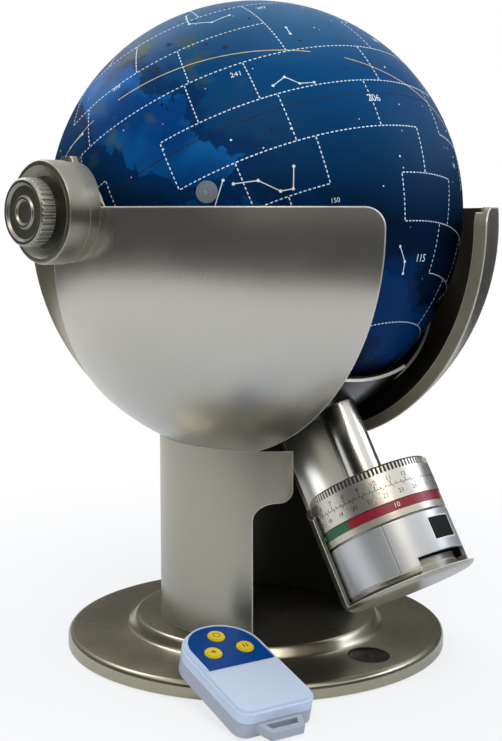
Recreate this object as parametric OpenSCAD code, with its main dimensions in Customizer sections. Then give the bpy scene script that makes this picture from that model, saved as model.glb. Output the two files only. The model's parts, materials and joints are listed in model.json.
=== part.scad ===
// Home star projector: a pierced star globe on a tilting yoke, carried by a split
// bowl on a half-pipe column and a round base, with a clock dial on its polar stem
// and a small remote control leaning on the base rim.
//
// Frame: origin on the table under the middle of the base, +Z up. The tilt axis runs
// along X through the globe's centre. The stem and the dial swing towards -Y.

/* [Globe] */
// Outer diameter of the star globe
globe_d = 203.2; // [196:0.2:206]
// Wall of the globe's two half shells
globe_wall = 2.4; // [1.6:0.2:3.2]
// Height of the globe's centre above the table
centre_h = 216.5; // [216:0.5:222]
// Lean of the polar axis from the vertical as shown
rest_tilt = 31; // [26:1:36]

/* [Yoke] */
// Gap between the globe and the yoke band that carries it
yoke_gap = 3.2; // [2.8:0.1:3.4]
// Thickness of the yoke band
yoke_wall = 2.6; // [1.8:0.2:2.8]
// Width of each yoke arm
yoke_w = 28; // [22:1:32]
// Half width of the saddle plate under the globe
saddle_half = 30; // [24:1:32]
// Diameter of the trunnion pins
pin_d = 8; // [6:0.5:9]

/* [Bowl] */
// Gap between the yoke band and the lining of the bowl
bowl_gap = 2.4; // [2.2:0.1:4]
// Wall of the painted shells
bowl_wall = 2.8; // [2:0.2:3]
// Thickness of the black lining inside the shells
liner_wall = 1.6; // [1.2:0.2:2]
// Distance that the bowl's centre lies in front of the globe's
bowl_fwd = 5.5; // [4:0.5:6]
// Distance that the bowl's centre lies below the globe's
bowl_drop = 6.9; // [6:0.1:8]
// Half width of the slot between the two arms
slot_half = 35; // [34:0.5:38]
// Height of the arms' rim above the globe's centre
rim_up = 2.5; // [1:0.5:4]
// Thickness of the arms' edge along the slot, at their rim
edge_t = 7; // [6:0.2:7.4]
// Radius of the arms' top corners
arm_corner_r = 9; // [5:1:12]
// Height of the pivot ears above the globe's centre
ear_up = 24.5; // [23:0.5:28]

/* [Pivots] */
// Outer diameter of the pivot cups
cup_d = 45; // [40:1:46]
// Distance that the pivot cups stand out of the bowl
cup_out = 14.8; // [13:0.2:18]
// Depth of the dished face of the pivot cups
cup_deep = 3; // [2.4:0.1:3.6]
// Diameter of the knurled tilt knobs
knob_d = 29.5; // [26:0.5:32]
// Depth of the tilt knobs' knurled rims
knob_h = 7.5; // [5:0.5:9]
// Gap between a tilt knob and the floor of its cup
knob_gap = 1.2; // [0.8:0.1:2]

/* [Column] */
// Outer radius of the half-pipe column
col_r = 49.8; // [49.6:0.2:52]
// Distance that the column's centre lies in front of the base's
col_fwd = 2; // [1:0.5:3]
// Half width of the column's upper opening
neck_slot_half = 21; // [19:0.5:23]
// Half width of the column's lower opening
dial_slot_half = 36.5; // [35:0.5:38]
// Height of the step between the two openings
notch_z = 80.5; // [78:0.5:84]

/* [Base] */
// Radius of the base
base_r = 95.7; // [92:0.1:98]
// Height of the upright rim wall
base_rim_h = 6; // [5:0.5:7]
// Height of the flat ring of the base
ring_z = 9.4; // [9:0.2:10.4]
// Radius of the raised middle of the base
plateau_r = 60; // [58:0.5:64]
// Height of the raised middle of the base
plateau_z = 14.6; // [14.2:0.1:14.8]
// Wall of the base cover
base_wall = 1.7; // [1.4:0.1:1.8]
// Height of the rubber feet below the bottom plate
foot_h = 0.8; // [0.6:0.1:1]
// Thickness of the bottom plate
plate_t = 1.4; // [1.2:0.1:1.6]
// Diameter of the receiver window in the base
window_d = 20; // [16:1:22]
// Distance of the receiver window from the base's edge
window_in = 18.7; // [18:0.1:20]

/* [Stem and dial] */
// Outer diameter of the polished stem
stem_d = 18; // [16:0.5:20]
// Radius of the date ring
dial_r = 29.2; // [28:0.1:29.6]
// Distance from the globe's centre to the dial's top
dial_top = 145; // [144.6:0.2:147]
// Length of the knurled edge of the date ring
knurl_len = 4; // [3:0.5:5]
// Number of knurls round the date ring
knurl_n = 96; // [84:4:104]
// Length of the printed scale of the date ring
scale_len = 13; // [10:0.5:14]
// Length of the coloured season band
season_len = 4.6; // [4:0.2:6]
// Length of the pale index strip
index_len = 3; // [2:0.5:4]
// Length of the motor housing
housing_len = 22.5; // [20:0.5:24]
// Gap between the date ring and the cradle trough behind it
cradle_gap = 1; // [0.8:0.1:1.4]
// Thickness of the cradle sheet
cradle_wall = 2; // [1.6:0.2:2.2]
// Half width of the cradle's neck
neck_half = 16; // [14:0.5:17]

/* [Drive] */
// Outer diameter of the hollow shaft that turns the globe
drive_d = 8; // [7:0.2:9]
// Module of the drive gears
gear_m = 0.8; // [0.7:0.05:0.8]
// Teeth on the large drive gear
gear_n = 30; // [27:1:31]
// Teeth on the motor pinion
pinion_n = 10; // [9:1:11]

/* [Remote] */
// Length of the remote's body
remote_l = 65; // [60:1:72]
// Width of the remote's body
remote_w = 38.5; // [36:0.5:42]
// Thickness of the remote's body
remote_t = 14.5; // [13:0.5:15]
// Diameter of the remote's buttons
key_d = 8; // [7:0.5:8.5]
// Travel of the remote's buttons
key_travel = 0.8; // [0.5:0.1:1]

/* [Hidden] */
$fn = 96;
eps = 0.01;
gap = 0.3;          // clearance between neighbouring moving pieces
fit = 0.05;         // radial clearance of a running fit

globe_r = globe_d / 2;
yoke_r = globe_r + yoke_gap;
yoke_out = yoke_r + yoke_wall;
lining_in = yoke_out + bowl_gap;
bowl_in = lining_in + liner_wall;
bowl_r = bowl_in + bowl_wall;
cup_x = bowl_r + cup_out;
bowl_z = centre_h - bowl_drop;
rim_z = centre_h + rim_up;
col_inner_r = col_r - bowl_wall;
col_lining_r = col_inner_r - liner_wall;

// Parting plane between the front arms and the rear shell: it leans back downwards.
part_lean = 13;
part_y = 9.9;                             // where it crosses the height of the globe's centre

// Stations along the polar axis, as distances below the globe's centre.
knurl_end = dial_top + knurl_len;
scale_end = knurl_end + scale_len;
season_end = scale_end + season_len;
index_end = season_end + index_len;
groove_end = index_end + 1;
housing_end = groove_end + housing_len;
cap_end = housing_end + 3.5;
cradle_end = cap_end + cradle_wall;
flare_start = dial_top + 1.5;
flare_end = flare_start + 8;
cradle_r = dial_r + cradle_gap + cradle_wall;
cradle_lip = 14;                          // the trough's rims lie this far behind the axis
cradle_half = sqrt(cradle_r * cradle_r - cradle_lip * cradle_lip);

stem_wall = 1.5;
post_d = 4;                               // fixed lamp post inside the hollow shaft
drive_bore = post_d + 2 * gap;
gear_h = 4;
gear_r = gear_m * gear_n / 2;
pinion_r = gear_m * pinion_n / 2;
gear_gap = 0.25;                          // backlash between the two gears
gear_dist = gear_r + pinion_r + gear_gap;
gear_top = groove_end + 2;
motor_r = 6;
motor_len = 12;
motor_top = gear_top + gear_h + 1;

// Base
cover_in_z = plateau_z - base_wall;
plate_z = foot_h;
plate_top = plate_z + plate_t;
cell_r = 5.2;                             // three slim dry cells
cell_l = 44;
cell_n = 3;
cell_pitch = 2 * cell_r + 0.6;
bay_l = cell_l + 6;
bay_w = cell_n * cell_pitch + 1.5;
foot_n = 4;
foot_place_r = base_r - 11;
boss_place_r = base_r - 22;
boss_r = 3.2;
foot_turn = 45;                           // the first foot sits here, from +X
screw_turn = 28;                          // plate screws sit this far round from the feet
window_y = base_r - window_in;
board_half = boss_place_r * sin(foot_turn - screw_turn) - boss_r - 1.3;

// Pivots
pivot_hole_d = pin_d + 0.8;
pivot_fit_d = pin_d + 2 * fit;
cup_floor = cup_x - cup_deep;
knob_bore_d = 6;
pin_tip_d = knob_bore_d - 2 * fit;

// Remote: its near end stands on the table and its body leans on the base's shoulder.
remote_yaw = -11;
remote_lean = 15.1;
remote_turn = -130;                       // the remote's near end lies this way from the middle
remote_out = 32.5;                        // and this far outside the base
remote_near = (base_r + remote_out) * [cos(remote_turn), sin(remote_turn)];
remote_far_r = 18.5;
remote_near_r = 6;
shell_split = remote_t * 0.55;
panel_t = 0.8;
panel_l = 33;
key_up = 0.7;
key_stem_d = 3.6;
board_t = 1.2;                            // of both circuit boards
coin_d = 20;
coin_t = 3.2;

// ---------------------------------------------------------------- helpers

// Places children in the polar frame: its +Z points up the globe's polar axis.
module polar() {
    translate([0, 0, centre_h]) rotate([-rest_tilt, 0, 0]) children();
}

// Lays children, drawn along +Z, outwards along the tilt axis on one side.
module on_side(side) {
    translate([0, 0, centre_h]) rotate([0, side * 90, 0]) children();
}

module tube(r_out, r_in, z0, z1) {
    translate([0, 0, z0]) difference() {
        cylinder(r = r_out, h = z1 - z0);
        translate([0, 0, -1]) cylinder(r = r_in, h = z1 - z0 + 2);
    }
}

module rounded_plate(l, w, r, h) {
    linear_extrude(h) rounded_rect(l, w, r);
}

module rounded_rect(l, w, r) {
    square([l - 2 * r, w], center = true);
    square([l, w - 2 * r], center = true);
    for (x = [-1, 1], y = [-1, 1]) translate([x * (l / 2 - r), y * (w / 2 - r)]) circle(r);
}

module at_bowl() {
    translate([0, -bowl_fwd, bowl_z]) children();
}

// ---------------------------------------------------------------- base

foot_angles = [for (i = [0 : foot_n - 1]) foot_turn + i * 360 / foot_n];
cover_bottom = foot_h;
shoulder_r = 3;
ridge_w = 6;

// Half section of the base's outer skin, moved inwards by inset.
module base_outline(inset) {
    r = base_r - inset;
    polygon(concat(
        [[0, cover_bottom], [r, cover_bottom]],
        [for (a = [0 : 15 : 90]) [r - shoulder_r + shoulder_r * cos(a),
            base_rim_h - 1 - inset + shoulder_r * sin(a)]],
        [for (a = [0 : 20 : 180]) [plateau_r - inset + ridge_w * (1 - a / 180),
            ring_z - inset + (plateau_z - ring_z) * (1 - cos(a)) / 2]],
        [[0, plateau_z - inset]]
    ));
}

module plate_screw_places() {
    for (a = foot_angles) rotate(a + screw_turn) translate([boss_place_r, 0, 0]) children();
}

module base_cover() {
    color("#7d786d") {
        difference() {
            rotate_extrude() base_outline(0);
            translate([0, 0, -eps]) rotate_extrude() base_outline(base_wall);
            translate([0, 0, -1]) cylinder(r = base_r - base_wall, h = foot_h + 1 + eps);
            translate([0, -window_y, 0]) cylinder(d = window_d, h = 20);
        }
        plate_screw_places() tube(boss_r, 1.3, plate_top, ring_z - base_wall - 0.1);
    }
}

module base_plate() {
    color("#3c3a37") {
        difference() {
            translate([0, 0, plate_z]) cylinder(r = base_r - base_wall - 0.2, h = plate_t);
            translate([0, 0, plate_z - 1]) rounded_plate(bay_l, bay_w, 3, plate_t + 2);
            plate_screw_places() translate([0, 0, -1]) {
                cylinder(d = 2.6, h = 5);
                cylinder(d = plate_head_d, h = 1.8 + plate_z);
            }
            for (a = foot_angles) rotate(a) translate([foot_place_r, 0, -1]) cylinder(d = 6, h = 5);
        }
        translate([0, 0, plate_top]) difference() {
            rounded_plate(bay_l + 4, bay_w + 4, 4, cover_in_z - plate_top - gap);
            translate([0, 0, -1]) rounded_plate(bay_l, bay_w, 3, 20);
        }
    }
}

module rubber_feet() {
    color("#222222") for (a = foot_angles) rotate(a) translate([foot_place_r, 0, 0]) {
        cylinder(d = 12, h = foot_h);
        cylinder(d = 6, h = plate_top);
    }
    color("#222222") cylinder(d = 12, h = foot_h);
}

module battery_door() {
    color("#45423e") difference() {
        translate([0, 0, plate_z]) rounded_plate(bay_l - gap, bay_w - gap, 3, plate_t - 0.2);
        for (i = [-3 : 3]) translate([bay_l / 2 - 8 + i, 0, plate_z - 0.6])
            cube([0.5, 14, 2], center = true);
    }
}

cell_z = plate_top - 0.1 + cell_r;

module cell_places() {
    for (i = [0 : cell_n - 1]) translate([0, (i - (cell_n - 1) / 2) * cell_pitch, cell_z]) children();
}

module dry_cells() {
    color("#2f6f9f") cell_places() rotate([0, 90, 0]) {
        cylinder(r = cell_r, h = cell_l - 2, center = true);
        translate([0, 0, cell_l / 2 - 1]) cylinder(r = 1.9, h = 1);
    }
}

contact_w = 8;

module cell_contacts() {
    color("#c9b98a") cell_places() {
        for (s = [-1, 1]) translate([s * (bay_l / 2 - 0.3), 0, 0])
            cube([0.5, contact_w, contact_w - 1], center = true);
        translate([-bay_l / 2 + 0.5, 0, 0]) rotate([0, 90, 0])
            cylinder(r1 = 3.6, r2 = 2.4, h = (bay_l - cell_l) / 2 + 0.45);
        translate([cell_l / 2 + 0.1, 0, 0]) rotate([0, 90, 0])
            cylinder(r = 2.4, h = (bay_l - cell_l) / 2 - 0.4);
    }
}

board_l = 22;
board_front = 8;                          // this much of it lies in front of the window's middle
chip_w = 9;

module control_board() {
    board_z = plate_top + 0.3;
    color("#1f6b3a") translate([0, -window_y, board_z]) difference() {
        translate([-board_half, -board_front, 0]) cube([2 * board_half, board_l, board_t]);
        for (s = [-1, 1]) translate([s * (board_half - 3), 3 - board_front, -1]) cylinder(d = 2.6, h = 4);
    }
    color("#222222") translate([0, -window_y, board_z + board_t]) {
        translate([-chip_w - 5, 2, 0]) cube([chip_w, chip_w, 1.4]);
        translate([chip_w - 1, 3, 0]) cube([chip_w - 3, chip_w - 1, 1.2]);
        cylinder(d = 5, h = 1.2);
    }
}

module receiver_window() {
    flange_z = ring_z - base_wall - 2.6;
    color("#0c0c0e") translate([0, -window_y, 0]) {
        translate([0, 0, flange_z]) cylinder(d = window_d + 3, h = 0.9);
        translate([0, 0, flange_z + 0.9 - eps]) cylinder(d = window_d - 0.2, h = 2.4);
    }
}

plate_head_d = 5;

module plate_screws() {
    color("#8c8c8c") plate_screw_places() {
        translate([0, 0, plate_z]) difference() {
            cylinder(d = plate_head_d, h = 0.8);
            cube([3.4, 0.6, 0.8], center = true);
        }
        translate([0, 0, plate_z + 0.8 - eps]) cylinder(d = 2.6, h = 4);
    }
}

// ---------------------------------------------------------------- column

big_corner = 8;                           // under the step of the opening
small_corner = 6;                         // above it

// Right half of the opening's outline: wide at the dial's height, stepped in above it.
function opening_side(s) = concat(
    [[s * dial_slot_half, -5]],
    [for (a = [0 : 15 : 90]) [s * (dial_slot_half - big_corner * (1 - cos(a))),
        notch_z - big_corner * (1 - sin(a))]],
    [for (a = [90 : -15 : 0]) [s * (neck_slot_half + small_corner * (1 - cos(a))),
        notch_z + small_corner * (1 - sin(a))]],
    [[s * neck_slot_half, bowl_z]]
);

module column_opening() {
    polygon(concat(opening_side(1), [for (i = [15 : -1 : 0]) opening_side(-1)[i]]));
}

module half_pipe(r_out, r_in) {
    difference() {
        translate([0, -col_fwd, 0]) tube(r_out, r_in, plateau_z, bowl_z - 92);
        rotate([90, 0, 0]) linear_extrude(100) column_opening();
        at_bowl() sphere(bowl_r, $fn = 128);
    }
}

module column_shell() {
    color("#938e84") half_pipe(col_r, col_inner_r);
}

module column_lining() {
    color("#0d0c0c") half_pipe(col_inner_r, col_lining_r);
}

// ---------------------------------------------------------------- bowl

rear_r = bowl_r - 0.8;
slot_back = 37;                           // rear end of the slot under the globe

// Side view of what the shells keep: all below the rim, and the two pivot ears.
module bowl_side_view() {
    ear_front = 3.4;
    ear_back = 14;
    run = ear_up + 5;
    translate([-bowl_r - 10, -bowl_r - 20]) square([2 * bowl_r + 20, bowl_r + 20 + rim_up]);
    polygon([[ear_front - run, -5], [ear_back + run, -5], [ear_back, ear_up], [ear_front, ear_up]]);
}

// Everything in front of the leaning parting plane.
module front_side() {
    translate([0, part_y, centre_h]) rotate([part_lean, 0, 0]) translate([-200, -400, -300])
        cube([400, 400, 400]);
}

module slot_cut() {
    translate([-slot_half, -200, 0]) cube([2 * slot_half, 200 + slot_back, centre_h - 60]);
    translate([-slot_half, -200, centre_h - 61]) cube([2 * slot_half, 200, 100]);
    for (s = [-1, 1]) translate([s * slot_half, 0, rim_z]) rotate([90, 0, 0]) linear_extrude(200)
        difference() {
            translate([s > 0 ? -eps : -arm_corner_r + eps, -arm_corner_r]) square(arm_corner_r + eps);
            translate([s * arm_corner_r, -arm_corner_r]) circle(arm_corner_r);
        }
}

module bowl_trim() {
    translate([0, 0, centre_h]) rotate([90, 0, 90]) linear_extrude(300, center = true) bowl_side_view();
}

// Part of the bowl between two radii, slotted and trimmed to the rim and the pivot ears.
module bowl_skin(r_out, r_in) {
    intersection() {
        difference() {
            at_bowl() sphere(r_out, $fn = 128);
            at_bowl() sphere(r_in, $fn = 128);
            slot_cut();
        }
        bowl_trim();
    }
}

module pivot_bore(d) {
    translate([0, 0, centre_h]) rotate([0, 90, 0]) cylinder(d = d, h = 300, center = true);
}

edge_w = 3;                               // width of the thick strip along the slot
edge_drift = edge_t - bowl_r + lining_in;

// Thick edge of the right arm: its inner face drifts away from the outer one towards the rim.
module slot_edge() {
    intersection() {
        difference() {
            at_bowl() sphere(bowl_r - 1, $fn = 128);
            at_bowl() translate([0, edge_drift, 0]) rotate([90, 0, 0]) sphere(lining_in, $fn = 128);
            slot_cut();
        }
        bowl_trim();
        front_side();
        translate([slot_half - 1, -200, 0]) cube([edge_w + 1, 400, 400]);
    }
}

module arm() {
    color("#a8a297") {
        difference() {
            intersection() {
                bowl_skin(bowl_r, bowl_in);
                front_side();
                translate([0, -200, 0]) cube([200, 400, 400]);
            }
            pivot_bore(pivot_hole_d);
        }
        slot_edge();
    }
}

module left_arm() {
    mirror([1, 0, 0]) arm();
}

module right_arm() {
    arm();
}

// Screws that hold the rear shell, as turns about the bowl's middle.
rear_screws = [for (a = [-40, 40], e = [-12, -48]) [e, a]];

module rear_screw_places() {
    at_bowl() for (s = rear_screws) rotate([0, 0, s[1]]) rotate([s[0] - 90, 0, 0]) children();
}

module rear_shell() {
    color("#8d877c") difference() {
        bowl_skin(rear_r, bowl_in);
        front_side();
        rear_screw_places() {
            translate([0, 0, bowl_in - 1]) cylinder(d = 3, h = 10);
            translate([0, 0, rear_r - 1.2]) cylinder(d = 6, h = 10);
        }
    }
}

module half_lining() {
    difference() {
        intersection() {
            bowl_skin(bowl_in, lining_in);
            translate([0, -200, 0]) cube([200, 400, 400]);
        }
        pivot_bore(washer_d + 1);
        intersection() {
            front_side();
            translate([0, -200, 0]) cube([slot_half + edge_w + gap, 400, 400]);
        }
        rear_screw_places() translate([0, 0, lining_in - 1]) cylinder(d = 3, h = 10);
    }
}

module bowl_lining() {
    color("#0d0c0c") {
        half_lining();
        mirror([1, 0, 0]) half_lining();
    }
}

module shell_screws() {
    color("#77736b") rear_screw_places() {
        translate([0, 0, lining_in + 0.2]) cylinder(d = 3, h = rear_r - 1.2 - lining_in - 0.2);
        translate([0, 0, rear_r - 1.2]) difference() {
            cylinder(d = 6, h = 1.1);
            translate([0, 0, 1.1]) cube([4, 0.8, 1], center = true);
            translate([0, 0, 1.1]) cube([0.8, 4, 1], center = true);
        }
    }
}

// ---------------------------------------------------------------- pivots

washer_d = 18;

// One pivot cup, turned about the tilt axis, seated on its arm's outside.
module pivot_cup(side) {
    r = cup_d / 2;
    color("#aaa69c") difference() {
        on_side(side) rotate_extrude() polygon([
            [pivot_fit_d / 2, bowl_r - 14], [r - 0.6, bowl_r - 14], [r - 0.6, cup_x - 11], [r, cup_x - 10.4],
            [r, cup_x - 1.6], [r - 0.5, cup_x - 0.4], [r - 1.6, cup_x], [r - 2.6, cup_x],
            [r - 3.4, cup_x - 0.8], [knob_d / 2 + 1, cup_floor], [pivot_fit_d / 2, cup_floor]
        ]);
        at_bowl() sphere(bowl_r, $fn = 128);
    }
}

module left_pivot_cup() {
    pivot_cup(-1);
}

module right_pivot_cup() {
    pivot_cup(1);
}

module friction_washers() {
    color("#e8e4d8") for (side = [-1, 1]) on_side(side)
        tube(washer_d / 2, pivot_hole_d / 2, yoke_out + gap + 0.1, bowl_in - 1.5);
}

module trunnion_pin(side) {
    head_x = yoke_r - 1.5;
    color("#b9b9b9") on_side(side) {
        translate([0, 0, head_x]) cylinder(d = pin_d + 4, h = 1.2);
        translate([0, 0, head_x]) cylinder(d = pin_d, h = cup_floor - head_x);
        translate([0, 0, head_x]) cylinder(d = pin_tip_d, h = knob_back + 3 - head_x);
    }
}

module left_trunnion_pin() {
    trunnion_pin(-1);
}

module right_trunnion_pin() {
    trunnion_pin(1);
}

knob_hub_h = 3;                           // stands the knurled rim clear of the cup
knob_back = cup_floor + knob_gap + knob_hub_h;
knurl_r = 0.8;
tilt_knurls = 36;

module tilt_knob(side) {
    r = knob_d / 2;
    color("#8f8b82") on_side(side) difference() {
        rotate_extrude() polygon([
            [knob_bore_d / 2, cup_floor + knob_gap], [7, cup_floor + knob_gap], [7, knob_back],
            [r - 0.8, knob_back], [r, knob_back + 0.8], [r, knob_back + knob_h - 1],
            [r - 1, knob_back + knob_h], [r - 2.4, knob_back + knob_h], [r - 3.2, knob_back + knob_h - 1],
            [7.2, knob_back + knob_h - 1], [6.6, knob_back + knob_h - 0.2], [5.4, knob_back + knob_h - 0.2],
            [4.8, knob_back + knob_h - 1], [0, knob_back + knob_h - 1], [0, knob_back + 4],
            [knob_bore_d / 2, knob_back + 4]
        ]);
        for (i = [0 : tilt_knurls - 1]) rotate(i * 360 / tilt_knurls) translate([r + 0.3, 0, knob_back - 1])
            cylinder(r = knurl_r, h = knob_h + 2, $fn = 16);
    }
}

module left_knob() {
    tilt_knob(-1);
}

module right_knob() {
    tilt_knob(1);
}

// ---------------------------------------------------------------- yoke

saddle_front = 24;
saddle_rear = 33;
bush_r = 6;

module yoke_outline() {
    half = yoke_w / 2;
    translate([-200, -half, -200]) cube([400, yoke_w, 200]);
    rotate([0, 90, 0]) cylinder(r = half, h = 400, center = true);
    translate([-saddle_half, -saddle_front, -200]) cube([2 * saddle_half, saddle_front + saddle_rear, 150]);
}

module yoke_band() {
    color("#8e897e") polar() difference() {
        intersection() {
            difference() {
                sphere(yoke_out, $fn = 128);
                sphere(yoke_r, $fn = 128);
            }
            yoke_outline();
        }
        rotate([0, 90, 0]) cylinder(d = pin_d, h = 300, center = true);
        translate([0, 0, -150]) cylinder(r = bush_r, h = 100);
    }
}

module stem_tube() {
    color("#b8b4aa") polar() difference() {
        tube(stem_d / 2, stem_d / 2 - stem_wall, -groove_end + 6, -yoke_r + 5);
        sphere(yoke_out, $fn = 128);
    }
}

module stem_bush() {
    inner = drive_d / 2 + fit;
    color("#d8cfae") polar() {
        difference() {
            tube(bush_r, inner, -yoke_out - 4, -yoke_r);
            translate([0, 0, -yoke_r + eps]) cylinder(r = 20, h = 5);
        }
        tube(bush_r + 2.6, inner, -yoke_r + 0.5, -yoke_r + 1.4);
        tube(bush_r, inner, -yoke_r - eps, -yoke_r + 0.6);
        tube(stem_d / 2 - stem_wall, inner, -groove_end + 6, -groove_end + 11);
    }
}

// Front view of the cradle: a narrow neck that widens to the full trough.
module cradle_front_view() {
    polygon([[-neck_half, -60], [-neck_half, -flare_start], [-cradle_half, -flare_end],
        [-cradle_r - 1, -flare_end - 4], [-cradle_r - 1, -cradle_end - 1], [cradle_r + 1, -cradle_end - 1],
        [cradle_r + 1, -flare_end - 4], [cradle_half, -flare_end], [neck_half, -flare_start],
        [neck_half, -60]]);
}

// Half section of the cradle with a rounded foot.
module cradle_section(r, top) {
    round_r = 4.5 - cradle_r + r;
    foot = cradle_end - cradle_r + r;
    polygon(concat([[0, -top], [r, -top]],
        [for (a = [0 : 15 : 90]) [r - round_r + round_r * cos(a), -foot + round_r - round_r * sin(a)]],
        [[0, -foot]]));
}

module cradle() {
    color("#a39e93") polar() difference() {
        intersection() {
            difference() {
                rotate_extrude() cradle_section(cradle_r, 60);
                rotate_extrude() cradle_section(cradle_r - cradle_wall, 50);
            }
            rotate([90, 0, 0]) linear_extrude(120, center = true) cradle_front_view();
        }
        translate([-60, -80, -cap_end]) cube([120, 80 + cradle_lip, 200]);
        sphere(yoke_out, $fn = 128);
    }
}

// ---------------------------------------------------------------- dial and motor

housing_r = dial_r - 0.2;
band_in = housing_r - 2.4;
skirt_in = dial_r - 3;
seam_turn = -52;
window_turn = 6;
notch_turn = 3;
notch_w = 34;
notch_top = housing_end - 3.8;
notch_floor_r = 24;
pocket_w = 15;
pocket_h = 10;
pocket_mid = groove_end + 8.5;

// Rectangular recess in the front of the housing's foot.
module notch_cut() {
    rotate(notch_turn) intersection() {
        tube(housing_r + 2, notch_floor_r, -cap_end - 2, -notch_top);
        translate([-notch_w / 2, -housing_r - 2, -cap_end - 3]) cube([notch_w, housing_r, 40]);
    }
}

module motor_housing() {
    color("#a39f96") polar() difference() {
        rotate_extrude() polygon([
            [stem_d / 2, -scale_end - gap], [band_in, -scale_end - gap], [band_in, -groove_end],
            [housing_r, -groove_end], [housing_r, -housing_end], [housing_r - 2, -housing_end],
            [housing_r - 2, -groove_end - 2], [band_in - 2, -groove_end - 2],
            [band_in - 2, -groove_end + 6], [stem_d / 2, -groove_end + 6]
        ]);
        rotate(window_turn) translate([0, -housing_r, -pocket_mid])
            cube([pocket_w, 3, pocket_h], center = true);
        rotate(seam_turn) translate([0, -housing_r, 0]) cube([0.5, 0.8, 400], center = true);
        notch_cut();
    }
}

module housing_cap() {
    color("#a39f96") polar() {
        difference() {
            rotate_extrude() polygon([
                [post_d / 2 + 0.2, -cap_end], [housing_r - 1.4, -cap_end], [housing_r, -cap_end + 1.4],
                [housing_r, -housing_end], [post_d / 2 + 0.2, -housing_end]
            ]);
            notch_cut();
        }
        tube(notch_floor_r - 0.4, notch_floor_r - 2, -housing_end - eps, -notch_top - 0.6);
        tube(post_d / 2 + 3, post_d / 2, -housing_end - 0.5, -housing_end + 6);
    }
}

module sensor_window() {
    color("#08080a") polar() rotate(window_turn) translate([-pocket_w / 2, -housing_r + 1,
        -pocket_mid - pocket_h / 2]) cube([pocket_w, 0.5, pocket_h]);
}

module season_band() {
    color("#8c1626") polar() tube(dial_r - 0.2, band_in, -season_end, -scale_end - gap);
}

module index_strip() {
    color("#d9d3b8") polar() tube(dial_r - 0.2, band_in, -index_end, -season_end);
}

module date_ring() {
    knurl_pitch = 360 / knurl_n;
    groove_r = 0.55;
    color("#c9c6bd") polar() difference() {
        rotate_extrude() polygon([
            [stem_d / 2 + fit, -dial_top], [dial_r - 0.8, -dial_top], [dial_r, -dial_top - 0.8],
            [dial_r, -knurl_end], [dial_r - 0.3, -knurl_end], [dial_r - 0.3, -scale_end],
            [skirt_in, -scale_end], [skirt_in, -knurl_end + 1.5], [stem_d / 2 + 3, -knurl_end + 1.5],
            [stem_d / 2 + 3, -knurl_end - 3], [stem_d / 2 + fit, -knurl_end - 3]
        ]);
        for (i = [0 : knurl_n - 1]) rotate(i * knurl_pitch) translate([dial_r, 0, -knurl_end + 0.3])
            cylinder(r = groove_r, h = knurl_len + 2, $fn = 16);
    }
}

module date_scale() {
    color("#b9b4a6") polar() tube(dial_r, dial_r - 0.3, -scale_end, -knurl_end);
}

// Spur gear blank with straight-flanked teeth.
module gear_shape(teeth, phase) {
    r = gear_m * teeth / 2;
    root = r - 1.2 * gear_m;
    foot = root * 0.9;
    tip = r + 0.75 * gear_m;
    step = 360 / teeth;
    circle(root);
    for (i = [0 : teeth - 1]) rotate(i * step + phase) polygon([
        [foot, -foot * sin(step * 0.25)], [r, -r * sin(step * 0.18)], [tip, -tip * sin(step * 0.09)],
        [tip, tip * sin(step * 0.09)], [r, r * sin(step * 0.18)], [foot, foot * sin(step * 0.25)]
    ]);
}

module drive_gear() {
    color("#e9e5d6") polar() translate([0, 0, -gear_top - gear_h]) difference() {
        linear_extrude(gear_h) gear_shape(gear_n, 90);
        translate([0, 0, -1]) cylinder(d = drive_d, h = gear_h + 2);
    }
}

module motor_pinion() {
    color("#c9a94f") polar() translate([0, gear_dist, -gear_top - gear_h]) difference() {
        linear_extrude(gear_h) gear_shape(pinion_n, -90 + 180 / pinion_n);
        translate([0, 0, -1]) cylinder(r = 1 + fit, h = gear_h + 2);
    }
}

module drive_motor() {
    color("#9a9a9a") polar() translate([0, gear_dist, 0]) {
        translate([0, 0, -motor_top - motor_len]) cylinder(r = motor_r, h = motor_len);
        translate([0, 0, -motor_top]) cylinder(r = 1, h = motor_top - gear_top + 1);
    }
    color("#4a4a4a") polar() translate([0, gear_dist, -motor_top - motor_len])
        tube(housing_r - 2 - gear_dist, motor_r, 0, 3);
}

module drive_shaft() {
    color("#cfcfcf") polar() tube(drive_d / 2, drive_bore / 2, -gear_top - gear_h - 0.5, -yoke_r + 14);
}

module lamp_post() {
    color("#9d9d9d") polar() translate([0, 0, -cap_end + 0.5]) cylinder(d = post_d, h = cap_end - 0.5 - 9);
}

module lamp() {
    color("#f4f1e0") polar() {
        translate([0, 0, -9]) cylinder(r = 3, h = 7);
        translate([0, 0, -2]) sphere(r = 3, $fn = 48);
    }
}

// ---------------------------------------------------------------- globe

hub_r = 8;
hub_len = 18;
plug_dir = [-83.7, -53.2, -22];           // where the clear plug sits, in the polar frame
plug_d = 9.5;
star_hole_d = 1.4;
star_holes = 14;                          // pierced stars in each half

function spread(i, n) = [acos(1 - (i + 0.7) / n), i * 137.508];

module half_globe(up) {
    inner = globe_r - globe_wall;
    difference() {
        sphere(globe_r, $fn = 160);
        sphere(inner, $fn = 160);
        translate([-150, -150, up ? -300 : 0]) cube([300, 300, 300]);
        for (i = [0 : star_holes - 1]) rotate([0, 0, spread(i, star_holes)[1]])
            rotate([0, up ? spread(i, star_holes)[0] * 0.9 : 180 - 20 - spread(i, star_holes)[0] * 0.7, 0])
            translate([0, 0, globe_r - 8]) cylinder(d = star_hole_d, h = 20, $fn = 24);
        translate([0, 0, -globe_r - 5]) cylinder(r = hub_r, h = 30);
        plug_place() translate([0, 0, globe_r - 8]) cylinder(d = plug_d, h = 20);
    }
}

module plug_place() {
    rotate([0, acos(plug_dir[2] / norm(plug_dir)), atan2(plug_dir[1], plug_dir[0])]) children();
}

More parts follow.
